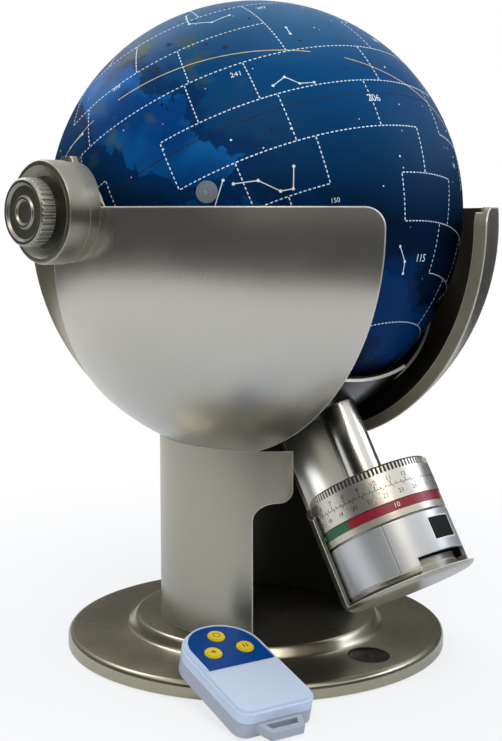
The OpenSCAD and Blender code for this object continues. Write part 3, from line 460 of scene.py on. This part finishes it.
# the rear shell's coat carries the darker lacquer of painted shade
look["shadedRearCoat"] = shellCoat("shadedRearCoat", "shadedRearLacquer", bowlCentre)
# the band is black inside this radius; past it its sides carry the pale painted highlight, partly the band's
# real silver edge
bandHighlightFrom = 105.9 * mm
look["yokeCoat"] = shellCoat("yokeCoat", "paleEdgeHighlight", globeCentre, bandHighlightFrom)
print("finishes ready,", len(look))


def bodyOf(node):
    return nodes[node]["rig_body"]


def finishMesh(name, bm, finish, body, stands=(), smoothUnder=None):
    # turns a bmesh into a piece that rides its body and, where told, stands in for CAD nodes
    if smoothUnder:
        for face in bm.faces:
            face.smooth = True
        for edge in bm.edges:
            if len(edge.link_faces) == 2:
                edge.smooth = edge.calc_face_angle(0) < math.radians(smoothUnder)
    mesh = bpy.data.meshes.new(name)
    bm.to_mesh(mesh)
    bm.free()
    mesh.materials.append(look[finish])
    piece = bpy.data.objects.new(name, mesh)
    bpy.context.scene.collection.objects.link(piece)
    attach(piece, body)
    if stands:
        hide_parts(*stands)
    return piece


# merging distances, and the angles in degrees up to which a copy is smooth and from which it is rounded
copyFacts = {"merge": 0.004 * mm, "thin": 0.002 * mm, "smoothUnder": 30, "roundFrom": 40, "segments": 3}


def dressNode(node, finish, edge):
    # a merged copy of the CAD mesh with smooth curves and, where edge is given, rounded corners
    bm = bmesh.new()
    bm.from_mesh(nodes[node].data)
    bmesh.ops.remove_doubles(bm, verts=bm.verts, dist=copyFacts["merge"])
    bmesh.ops.dissolve_degenerate(bm, edges=bm.edges, dist=copyFacts["thin"])
    piece = finishMesh("dressed_" + node, bm, finish, bodyOf(node), [node],
                       copyFacts["smoothUnder"])
    if edge:
        rounding = piece.modifiers.new("edges", "BEVEL")
        rounding.width = edge
        rounding.segments = copyFacts["segments"]
        rounding.limit_method = "ANGLE"
        rounding.angle_limit = math.radians(copyFacts["roundFrom"])
        rounding.harden_normals = True


# finish and rounding of the nodes that get a smooth copy
dressed = {
    "base_cover": ("baseLacquer", 0), "column_shell": ("shadedColumnLacquer", 0.6 * mm),
    "column_lining": ("innerMouldingPaintedFill", 0),
    "left_arm": ("armCoat", 0), "right_arm": ("armCoat", 0),
    "rear_shell": ("shadedRearCoat", 0.5 * mm), "bowl_lining": ("innerMouldingPaintedFill", 0),
    "left_pivot_cup": ("knobLacquer", 0), "right_pivot_cup": ("knobLacquer", 0),
    "left_knob": ("knobLacquer", 0), "right_knob": ("knobLacquer", 0),
    "yoke_band": ("yokeCoat", 0), "cradle": ("cradleLacquer", 0.4 * mm),
    "stem_tube": ("polishedSteel", 0), "motor_housing": ("housingPaintedSheen", 0.3 * mm),
    "housing_cap": ("shadedColumnLacquer", 0.4 * mm), "date_ring": ("ringCoat", 0),
    "remote_top": ("lavenderMoulding", 0.8 * mm), "remote_bottom": ("greyMoulding", 0.8 * mm),
    "remote_panel": ("blueLabel", 0.1 * mm),
    "star_key": ("yellowButton", 0.3 * mm), "spin_key": ("yellowButton", 0.3 * mm),
    "stop_key": ("yellowButton", 0.3 * mm),
    "globe_south": ("globePrint", 0), "globe_north": ("globePrint", 0),
    "receiver_window": ("receiverAcrylic", 0.2 * mm), "sensor_window": ("smokedWindow", 0.1 * mm),
}
for node, (finish, edge) in dressed.items():
    dressNode(node, finish, edge)

# finish of the nodes that stay as they are
keptFinish = {
    "base_plate": "darkMoulding", "rubber_feet": "blackRubber", "battery_door": "darkMoulding",
    "dry_cells": "cellWrap", "cell_contacts": "springBrass", "control_board": "solderMask",
    "plate_screws": "platedSteel", "friction_washers": "whiteAcetal", "shell_screws": "platedSteel",
    "left_trunnion_pin": "platedSteel", "right_trunnion_pin": "platedSteel", "stem_bush": "whiteAcetal",
    "lamp_post": "platedSteel", "lamp": "lampGlass", "season_band": "seasonPrint",
    "index_strip": "paleStrip", "drive_motor": "platedSteel", "motor_pinion": "machinedBrass",
    "drive_gear": "whiteAcetal", "drive_shaft": "platedSteel", "globe_hub": "darkMoulding",
    "lens_plug": "clearPlug", "date_scale": "dialSilver", "remote_board": "solderMask",
    "coin_cell": "platedSteel", "key_pad": "siliconePad",
}
for node, finish in keptFinish.items():
    mesh = nodes[node].data
    mesh.materials.clear()
    mesh.materials.append(look[finish])
print("nodes dressed,", len(dressed), "copies and", len(keptFinish), "kept")

# every print is a thin closed form, sunk so that only its face stands proud of what it is on
ink = {"deep": 0.3 * mm, "proud": 0.03 * mm, "merge": 0.001 * mm}
# height of the font's figures in its own size
figureShare = 0.7


def numberMesh(text, height):
    # a plain number as a closed flat mesh in the XY plane, its middle at the origin
    curve = bpy.data.curves.new("number", "FONT")
    curve.body = text
    curve.size = height / figureShare
    curve.align_x = "CENTER"
    curve.align_y = "CENTER"
    curve.extrude = ink["deep"] / 2
    curve.resolution_u = 3
    holder = bpy.data.objects.new("number", curve)
    bpy.context.scene.collection.objects.link(holder)
    mesh = bpy.data.meshes.new_from_object(holder)
    bpy.data.objects.remove(holder)
    return mesh


def addBent(bm, shape, bend):
    # adds a flat mesh, or a bar of width, length and turn, each point moved by bend, which takes x, y and
    # the height over the surface
    grown = bmesh.new()
    if isinstance(shape, bpy.types.Mesh):
        grown.from_mesh(shape)
        bpy.data.meshes.remove(shape)
    else:
        width, length, turn = shape
        bmesh.ops.create_cube(grown, size=1, matrix=Matrix.Rotation(turn, 4, "Z")
                              @ Matrix.Diagonal((width, length, ink["deep"], 1)))
    bmesh.ops.remove_doubles(grown, verts=grown.verts, dist=ink["merge"])
    for vert in grown.verts:
        x, y, z = vert.co
        vert.co = bend(x, y, z + ink["proud"] - ink["deep"] / 2)
    flat = bpy.data.meshes.new("flat")
    grown.to_mesh(flat)
    grown.free()
    bm.from_mesh(flat)
    bpy.data.meshes.remove(flat)


starMap = {
    "radius": 101.6 * mm, "seed": 7,
    # the regions: parallels in degrees, degrees between meridians, how far those stray, share of the
    # parallels that is drawn, and the dashed line
    "bands": (-78, -60, -46, -33, -21, -9, 4, 16, 29, 43, 58, 74), "between": 26, "stray": 0.27,
    "drawn": 0.75, "line": 0.5 * mm, "dash": 1.3 * mm, "gap": 0.9 * mm,
    # the stick figures: their count, lengths in millimetres and numbers of their bars, how far they bend,
    # least cosine of the latitude that a bar reckons with, and the sizes of line and star
    "figures": 24, "bars": (5, 13), "chain": (1, 2, 2, 3, 4), "bend": 1.4, "leastCos": 0.3,
    "figureLine": 0.4 * mm, "figureStar": 0.7 * mm,
    # single stars, and black discs of painted shade for open pin holes, with their radii in millimetres
    "stars": 190, "starSizes": (0.2, 0.28, 0.36, 0.5), "holes": 70, "holeSizes": (0.45, 0.6, 0.8, 1.2),
    # sines of the lowest and the highest latitude that each kind reaches
    "figureReach": (-0.85, 0.95), "starReach": (-0.9, 0.98), "numberReach": (-0.8, 0.9),
    "holeReach": (-0.85, 0.98),
    # plain numbers, with their heights in millimetres; they keep clear of the plug and lean by a few degrees
    "numbers": 34, "numberSizes": (2.1, 2.1, 2.5, 3.5), "plug": (-83.7, -53.2, -22), "clear": 14 * mm,
    "lean": 6,
    # the sun's path: tilt and direction in degrees, line width, and degrees left out of each 60; then the
    # width of the joint between the half globes
    "path": (23.4, 18, 0.45 * mm, 9), "joint": 0.35 * mm,
    # longest bar of a curved line, and how far the bars lap over
    "step": 2 * mm, "lap": 1.02,
}


def onGlobe(lon, lat, turn=0):
    # a place on the globe with x along the parallel, y along the meridian and z outwards
    return (polarPlace @ Matrix.Rotation(lon, 4, "Z") @ Matrix.Rotation(math.pi / 2 - lat, 4, "Y")
            @ Matrix.Translation((0, 0, starMap["radius"])) @ Matrix.Rotation(math.pi / 2 + turn, 4, "Z"))


def globeBend(place):
    def bend(x, y, z):
        out = (place @ Vector((x, y, 0)) - globeCentre).normalized()
        return globeCentre + out * (starMap["radius"] + z)
    return bend


def inkBar(bm, place, length, width):
    sink = Matrix.Translation((0, 0, ink["proud"] - ink["deep"] / 2))
    bmesh.ops.create_cube(bm, size=1,
                          matrix=place @ sink @ Matrix.Diagonal((length, width, ink["deep"], 1)))


def inkDot(bm, place, radius, sides=10):
    sink = Matrix.Translation((0, 0, ink["proud"] - ink["deep"] / 2))
    bmesh.ops.create_cone(bm, cap_ends=True, segments=sides, radius1=radius, radius2=radius,
                          depth=ink["deep"], matrix=place @ sink)


def dashedRun(bm, lon0, lat0, lon1, lat1):
    # dashes along a meridian or a parallel
    along = (lon1 - lon0) * math.cos((lat0 + lat1) / 2)
    turn = math.atan2(lat1 - lat0, along)
    length = math.hypot(along, lat1 - lat0) * starMap["radius"]
    count = max(1, round(length / (starMap["dash"] + starMap["gap"])))
    for i in range(count):
        t = (i + 0.5) / count
        place = onGlobe(lon0 + (lon1 - lon0) * t, lat0 + (lat1 - lat0) * t, turn)
        inkBar(bm, place, starMap["dash"], starMap["line"])


def starRegions(bm, chance):
    # region borders that follow parallels and meridians in steps, laid out by chance
    bands = [math.radians(degrees) for degrees in starMap["bands"]]
    stray = starMap["stray"]
    cuts = []
    for low, high in zip(bands, bands[1:]):
        count = max(4, round(math.tau * math.cos((low + high) / 2) / math.radians(starMap["between"])))
        shift = chance.uniform(0, math.tau)
        edges = sorted((shift + math.tau * (k + chance.uniform(-stray, stray)) / count) % math.tau
                       for k in range(count))
        cuts.append(edges)
        for lon in edges:
            dashedRun(bm, lon, low, lon, high)
    for lower, upper, lat in zip(cuts, cuts[1:], bands[1:]):
        marks = sorted(lower + upper)
        for a, b in zip(marks, marks[1:] + [marks[0] + math.tau]):
            if chance.random() < starMap["drawn"]:
                dashedRun(bm, a, lat, b, lat)


def toPoint(lon, lat):
    return Vector((math.cos(lat) * math.cos(lon), math.cos(lat) * math.sin(lon), math.sin(lat)))


def greatArc(bm, start, end, width):
    # the straight way between two directions, in short flat bars that follow the globe
    count = max(1, round(start.angle(end) * starMap["radius"] / starMap["step"]))
    for i in range(count):
        p0, p1 = start.slerp(end, i / count), start.slerp(end, (i + 1) / count)
        mid = (p0 + p1).normalized()
        lat, lon = math.asin(mid.z), math.atan2(mid.y, mid.x)
        east = Vector((-math.sin(lon), math.cos(lon), 0))
        turn = math.atan2((p1 - p0).dot(mid.cross(east)), (p1 - p0).dot(east))
        inkBar(bm, onGlobe(lon, lat, turn), (p1 - p0).length * starMap["radius"] * starMap["lap"], width)


def starFigures(bm, chance):
    # small stick figures of chance, each a bent chain of stars, and single stars between them
    for _ in range(starMap["figures"]):
        lat, lon = math.asin(chance.uniform(*starMap["figureReach"])), chance.uniform(0, math.tau)
        heading = chance.uniform(0, math.tau)
        for _ in range(chance.choice(starMap["chain"])):
            step = chance.uniform(*starMap["bars"]) * mm / starMap["radius"]
            nextLat = lat + step * math.sin(heading)
            nextLon = lon + step * math.cos(heading) / max(starMap["leastCos"], math.cos(lat))
            greatArc(bm, toPoint(lon, lat), toPoint(nextLon, nextLat), starMap["figureLine"])
            inkDot(bm, onGlobe(lon, lat), starMap["figureStar"])
            lat, lon = nextLat, nextLon
            heading += chance.uniform(-starMap["bend"], starMap["bend"])
        inkDot(bm, onGlobe(lon, lat), starMap["figureStar"])
    for _ in range(starMap["stars"]):
        lat, lon = math.asin(chance.uniform(*starMap["starReach"])), chance.uniform(0, math.tau)
        inkDot(bm, onGlobe(lon, lat), chance.choice(starMap["starSizes"]) * mm, sides=8)


def ringOfInk(bm, tilt, towards, width, gaps=0):
    # a great circle round the globe, leaning by tilt towards a longitude, both in degrees, with the last
    # few degrees of each 60 left out where gaps is given
    lean = Matrix.Rotation(math.radians(towards), 4, "Z") @ Matrix.Rotation(math.radians(tilt), 4, "Y")
    count = 360
    for i in range(count):
        if i % 60 < 60 - gaps:
            ends = [lean @ Vector((math.cos(a), math.sin(a), 0))
                    for a in (math.tau * i / count, math.tau * (i + 1) / count)]
            greatArc(bm, ends[0], ends[1], width)


chance = random.Random(starMap["seed"])
regions = bmesh.new()
starRegions(regions, chance)
finishMesh("map_regions", regions, "mapInk", "globe")
figures = bmesh.new()
starFigures(figures, chance)
finishMesh("map_figures", figures, "mapInk", "globe")

# the numbers lie on a spiral of golden angles, which spreads them evenly
numbers = bmesh.new()
goldenAngle = math.radians(137.508)
low, top = starMap["numberReach"]
plugPlace = polarPlace @ (Vector(starMap["plug"]).normalized() * starMap["radius"])
for i in range(starMap["numbers"]):
    lat = math.asin(low + (top - low) * (i + 0.5) / starMap["numbers"])
    spot = onGlobe(i * goldenAngle, lat, math.radians(chance.uniform(-starMap["lean"], starMap["lean"])))
    if (spot.translation - plugPlace).length < starMap["clear"]:
        continue
    height = chance.choice(starMap["numberSizes"]) * mm
    addBent(numbers, numberMesh(str(i * 7 + 101), height), globeBend(spot))
finishMesh("map_numbers", numbers, "mapInk", "globe")

ecliptic = bmesh.new()
ringOfInk(ecliptic, *starMap["path"])
finishMesh("map_ecliptic", ecliptic, "eclipticInk", "globe")
seam = bmesh.new()
ringOfInk(seam, 0, 0, starMap["joint"])
finishMesh("globe_joint", seam, "holeShadeAndJoint", "globe")

# black discs on the map as painted shade for the dark inside of open pin holes
holes = bmesh.new()
for _ in range(starMap["holes"]):
    lat, lon = math.asin(chance.uniform(*starMap["holeReach"])), chance.uniform(0, math.tau)
    inkDot(holes, onGlobe(lon, lat), chance.choice(starMap["holeSizes"]) * mm, sides=14)
finishMesh("star_holes", holes, "holeShadeAndJoint", "globe")
print("star map drawn")

# printed on the dial; stations are distances below the globe's centre along the polar axis
dial = {
    "radius": 29.2 * mm, "housing": 29 * mm,
    # the scale's line in short pieces with a tick each, and a lower tick at every second one
    "scaleMid": 155.2 * mm, "ticks": 72, "line": (2.6 * mm, 0.2 * mm), "tick": 0.3 * mm,
    "tall": 2 * mm, "short": 1.1 * mm, "lowTick": (0.26 * mm, 1.3 * mm), "lowTurn": 2, "lowOff": 0.7 * mm,
    # height, turn in degrees and distance from the line of the numbers over it and under it
    "numbers": 24, "over": (2 * mm, 0, -3.3 * mm), "under": (1.9 * mm, 7, 3.6 * mm),
    "seasonMid": 164.3 * mm, "seasonNumber": 2.2 * mm, "seasonTurn": -32, "bandProud": 0.03 * mm,
    # the window's middle and half sizes, and the printed frame round it, whose long sides are in pieces
    "windowMid": 179.1 * mm, "windowTurn": 6, "windowHalf": (7.5 * mm, 5 * mm), "frameLine": 0.5 * mm,
    "framePieces": 8, "frameLap": 0.02 * mm,
}


def dialBend(radius, degrees, station):
    # degrees run round from the dial's front, seen from outside to the right
    def bend(x, y, z):
        angle = math.radians(degrees - 90) + x / radius
        out = radius + z
        return polarPlace @ Vector((out * math.cos(angle), out * math.sin(angle), y - station))
    return bend


def dialMark(bm, width, length, degrees, station, radius=dial["radius"]):
    addBent(bm, (width, length, 0), dialBend(radius, degrees, station))


scale = bmesh.new()
for i in range(dial["ticks"]):
    at = i * 360 / dial["ticks"]
    tall = dial["tall"] if i % 3 == 0 else dial["short"]
    dialMark(scale, *dial["line"], at, dial["scaleMid"])
    dialMark(scale, dial["tick"], tall, at, dial["scaleMid"] - tall / 2)
    if i % 2 == 0:
        dialMark(scale, *dial["lowTick"], at + dial["lowTurn"], dial["scaleMid"] + dial["lowOff"])
for i in range(dial["numbers"]):
    for value, (height, turn, off) in ((i % 12 + 1, dial["over"]), (i + 1, dial["under"])):
        addBent(scale, numberMesh(str(value), height),
                dialBend(dial["radius"], i * 360 / dial["numbers"] + turn, dial["scaleMid"] + off))
finishMesh("dial_scale_print", scale, "dialInk", "dial")

seasons = bmesh.new()
for i in range(4):
    addBent(seasons, numberMesh(str(10 * i + 10), dial["seasonNumber"]),
            dialBend(dial["housing"] + dial["bandProud"], 90 * i + dial["seasonTurn"], dial["seasonMid"]))
finishMesh("season_print", seasons, "whiteInk", "yoke")

border = bmesh.new()
wide, tall = dial["windowHalf"]
line, pieces = dial["frameLine"], dial["framePieces"]
for side in (-1, 1):
    uprightTurn = dial["windowTurn"] + side * math.degrees((wide + line / 2) / dial["housing"])
    dialMark(border, line, 2 * tall + 2 * line, uprightTurn, dial["windowMid"], dial["housing"])
    for i in range(pieces):
        along = (2 * i + 1 - pieces) / pieces
        dialMark(border, 2 * wide / pieces + dial["frameLap"], line,
                 dial["windowTurn"] + math.degrees(wide / dial["housing"]) * along,
                 dial["windowMid"] + side * (tall + line / 2), dial["housing"])
finishMesh("window_border", border, "whiteInk", "yoke")
print("dial printed")

# where the remote's near end lies, its turn and its lean on the base's rim in degrees, and the keys' height
remote = {"place": (-82.4 * mm, -98.2 * mm, 0), "turn": -11, "lean": 15.1, "keyTop": 15.2 * mm}
remotePlace = (Matrix.Translation(remote["place"]) @ Matrix.Rotation(math.radians(remote["turn"]), 4, "Z")
               @ Matrix.Rotation(math.radians(remote["lean"]), 4, "X"))
# each button's middle on the remote, and its generic mark as bars of width, length, shift and turn; a bar
# that is shifted from the middle lies across its way there
buttonMarks = {
    "star_key": ((0, 54.5 * mm), [(0.4 * mm, 1.6 * mm, 1.5 * mm, turn) for turn in range(0, 360, 60)]),
    "spin_key": ((-8.2 * mm, 43 * mm), [(0.5 * mm, 2.6 * mm, 0, turn) for turn in (0, 90)]),
    "stop_key": ((8.2 * mm, 43 * mm), [(0.5 * mm, 2.6 * mm, 0.8 * mm, turn) for turn in (90, 270)]),
}
for node, (middle, bars) in buttonMarks.items():
    marks = bmesh.new()
    for width, length, shift, turn in bars:
        spin = math.radians(turn)
        place = remotePlace @ Matrix.Translation((*middle, remote["keyTop"])) @ Matrix.Rotation(spin, 4, "Z")
        addBent(marks, (width, length, math.pi / 2 if shift else 0),
                lambda x, y, z: place @ Vector((x, y + shift, z)))
    finishMesh(node + "_mark", marks, "buttonInk", bodyOf(node))

# the diode of the receiver, seen as a small dome in the middle of the base's window
diode = {"middle": (0, -77 * mm, 8.2 * mm), "radius": 2.2 * mm, "rise": 0.35, "smoothUnder": 60}
dome = bmesh.new()
domeSize = Matrix.Diagonal((diode["radius"], diode["radius"], diode["radius"] * diode["rise"], 1))
bmesh.ops.create_uvsphere(dome, u_segments=24, v_segments=12, radius=1,
                          matrix=Matrix.Translation(diode["middle"]) @ domeSize)
finishMesh("receiver_dome", dome, "darkMoulding", bodyOf("receiver_window"),
           smoothUnder=diode["smoothUnder"])
print("remote and base marked")

# the camera fitted to the photograph: place in metres, turns in degrees, lens and clipping
view = {"place": (-0.4518, -0.4679, 0.2151), "down": 6.79, "round": -43.78, "lens": 63.16, "near": 0.01}
cameraData = bpy.data.cameras.new("camera")
cameraData.lens = view["lens"]
cameraData.clip_start = view["near"]
camera = bpy.data.objects.new("camera", cameraData)
camera.location = view["place"]
camera.rotation_euler = (math.radians(90 - view["down"]), 0, math.radians(view["round"]))
bpy.context.scene.collection.objects.link(camera)
bpy.context.scene.camera = camera

lamps = {
    # name: place, aimed at, size, watts, colour
    "key": ((-0.8, -0.9, 1.5), (0, 0, 0.2), 0.8, 16, "#fff4e4"),
    "fill": ((1.2, -0.8, 0.9), (0, 0, 0.15), 0.8, 8, "#e6eeff"),
    "rim": ((0.1, 1.4, 1.3), (0, 0, 0.2), 0.9, 9, "#ffffff"),
}
for name, (place, aim, size, watts, tone) in lamps.items():
    lampData = bpy.data.lights.new(name, "AREA")
    lampData.size = size
    lampData.energy = watts
    lampData.color = hexColour(tone)[:3]
    lamp = bpy.data.objects.new(name, lampData)
    lamp.location = place
    lamp.rotation_euler = (Vector(aim) - Vector(place)).to_track_quat("-Z", "Y").to_euler()
    bpy.context.scene.collection.objects.link(lamp)

stageFacts = {
    # the floor turns plain white between the two radii, from these shares seen straight and mirrored
    "floorHalf": 4, "floorTone": "#dfe5ec", "floorRough": 0.9, "nearRadius": 0.1, "farRadius": 0.45,
    "nearWhite": 0.75, "nearMirrored": 0.2,
    # the card is dark towards one way and pale away from it, and leans about a level axis
    "cardRadius": 0.5, "cardTop": 0.38, "cardDark": (-0.2, -0.98, 0), "cardFade": (0.2, -1),
    "cardTones": ("#151412", "#5f5b50"), "cardLean": 8, "cardAxis": (0.69, 0.72, 0), "cardOff": 1 * mm,
    "skyTone": "#c3cad6", "skyStrength": 0.8,
}
plainWhite = {"Color": (1, 1, 1, 1), "Strength": 1}


def mirrorRays(tree):
    # 1 for what the camera sees straight, or in metal and glass
    rays = addNode(tree, "ShaderNodeLightPath")
    sums = addNode(tree, "ShaderNodeMath", {"operation": "ADD"},
                   {0: rays.outputs["Is Camera Ray"], 1: rays.outputs["Is Glossy Ray"]})
    return addNode(tree, "ShaderNodeMath", {"operation": "ADD", "use_clamp": True},
                   {0: sums.outputs[0], 1: rays.outputs["Is Transmission Ray"]}).outputs[0]


def addStage(name, bm, material):
    mesh = bpy.data.meshes.new(name)
    bm.to_mesh(mesh)
    bm.free()
    mesh.materials.append(material)
    thing = bpy.data.objects.new(name, mesh)
    bpy.context.scene.collection.objects.link(thing)
    return thing


def paleFloor():
    # matte white sheet that fades to plain white away from the object, so its shadow stays near
    material, tree, shader, place = newMaterial("paleFloor")
    shader.inputs["Base Color"].default_value = hexColour(stageFacts["floorTone"])
    shader.inputs["Roughness"].default_value = stageFacts["floorRough"]
    away = addNode(tree, "ShaderNodeVectorMath", {"operation": "LENGTH"}, {0: place})
    fades = [addNode(tree, "ShaderNodeMapRange", {1: stageFacts["nearRadius"], 2: stageFacts["farRadius"],
                                                  3: stageFacts[near]}, {0: away.outputs["Value"]}).outputs[0]
             for near in ("nearMirrored", "nearWhite")]
    direct = addNode(tree, "ShaderNodeLightPath").outputs["Is Camera Ray"]
    fade = addNode(tree, "ShaderNodeMix", links={0: direct, 2: fades[0], 3: fades[1]})
    white = addNode(tree, "ShaderNodeEmission", plainWhite)
    seen = addNode(tree, "ShaderNodeMath", {"operation": "MULTIPLY"},
                   {0: fade.outputs[0], 1: mirrorRays(tree)})
    mixed = addNode(tree, "ShaderNodeMixShader",
                    links={0: seen.outputs[0], 1: shader.outputs[0], 2: white.outputs[0]})
    tree.links.new(mixed.outputs[0], tree.nodes["Material Output"].inputs["Surface"])
    return material


def ringCard():
    # matte card round the set: dark in front, for the silver's dark band, and pale behind
    material, tree, shader, place = newMaterial("ringCard")
    way = addNode(tree, "ShaderNodeVectorMath", {"operation": "NORMALIZE"}, {0: place}).outputs[0]
    toDark = addNode(tree, "ShaderNodeVectorMath", {"operation": "DOT_PRODUCT", 1: stageFacts["cardDark"]},
                     {0: way}).outputs["Value"]
    dark, pale = stageFacts["cardFade"]
    paleShare = addNode(tree, "ShaderNodeMapRange", {1: dark, 2: pale}, {0: toDark}).outputs[0]
    darkTone, paleTone = stageFacts["cardTones"]
    tree.links.new(layered(tree, darkTone, [(paleShare, paleTone)]), shader.inputs["Base Color"])
    shader.inputs["Roughness"].default_value = 1
    return material


sheet = bmesh.new()
bmesh.ops.create_grid(sheet, x_segments=1, y_segments=1, size=stageFacts["floorHalf"])
addStage("floor", sheet, paleFloor())

# the card is seen only in the lacquer, and gives the set neither light nor shadow
card = bmesh.new()
cardPlace = (Matrix.Rotation(math.radians(stageFacts["cardLean"]), 4, stageFacts["cardAxis"])
             @ Matrix.Translation((0, 0, stageFacts["cardTop"] / 2 + stageFacts["cardOff"])))
bmesh.ops.create_cone(card, segments=64, radius1=stageFacts["cardRadius"], radius2=stageFacts["cardRadius"],
                      depth=stageFacts["cardTop"], matrix=cardPlace)
cardRing = addStage("card", card, ringCard())
for kind in ("camera", "diffuse", "shadow"):
    setattr(cardRing, "visible_" + kind, False)

world = bpy.data.worlds.new("studio")
bpy.context.scene.world = world
world.use_nodes = True
sky = world.node_tree
sky.nodes.clear()
plain = addNode(sky, "ShaderNodeBackground", {"Color": hexColour(stageFacts["skyTone"]),
                                              "Strength": stageFacts["skyStrength"]})
white = addNode(sky, "ShaderNodeBackground", plainWhite)
pick = addNode(sky, "ShaderNodeMixShader",
               links={0: mirrorRays(sky), 1: plain.outputs[0], 2: white.outputs[0]})
addNode(sky, "ShaderNodeOutputWorld", links={"Surface": pick.outputs[0]})
bpy.context.scene.view_settings.view_transform = "Standard"
print("camera and studio set")
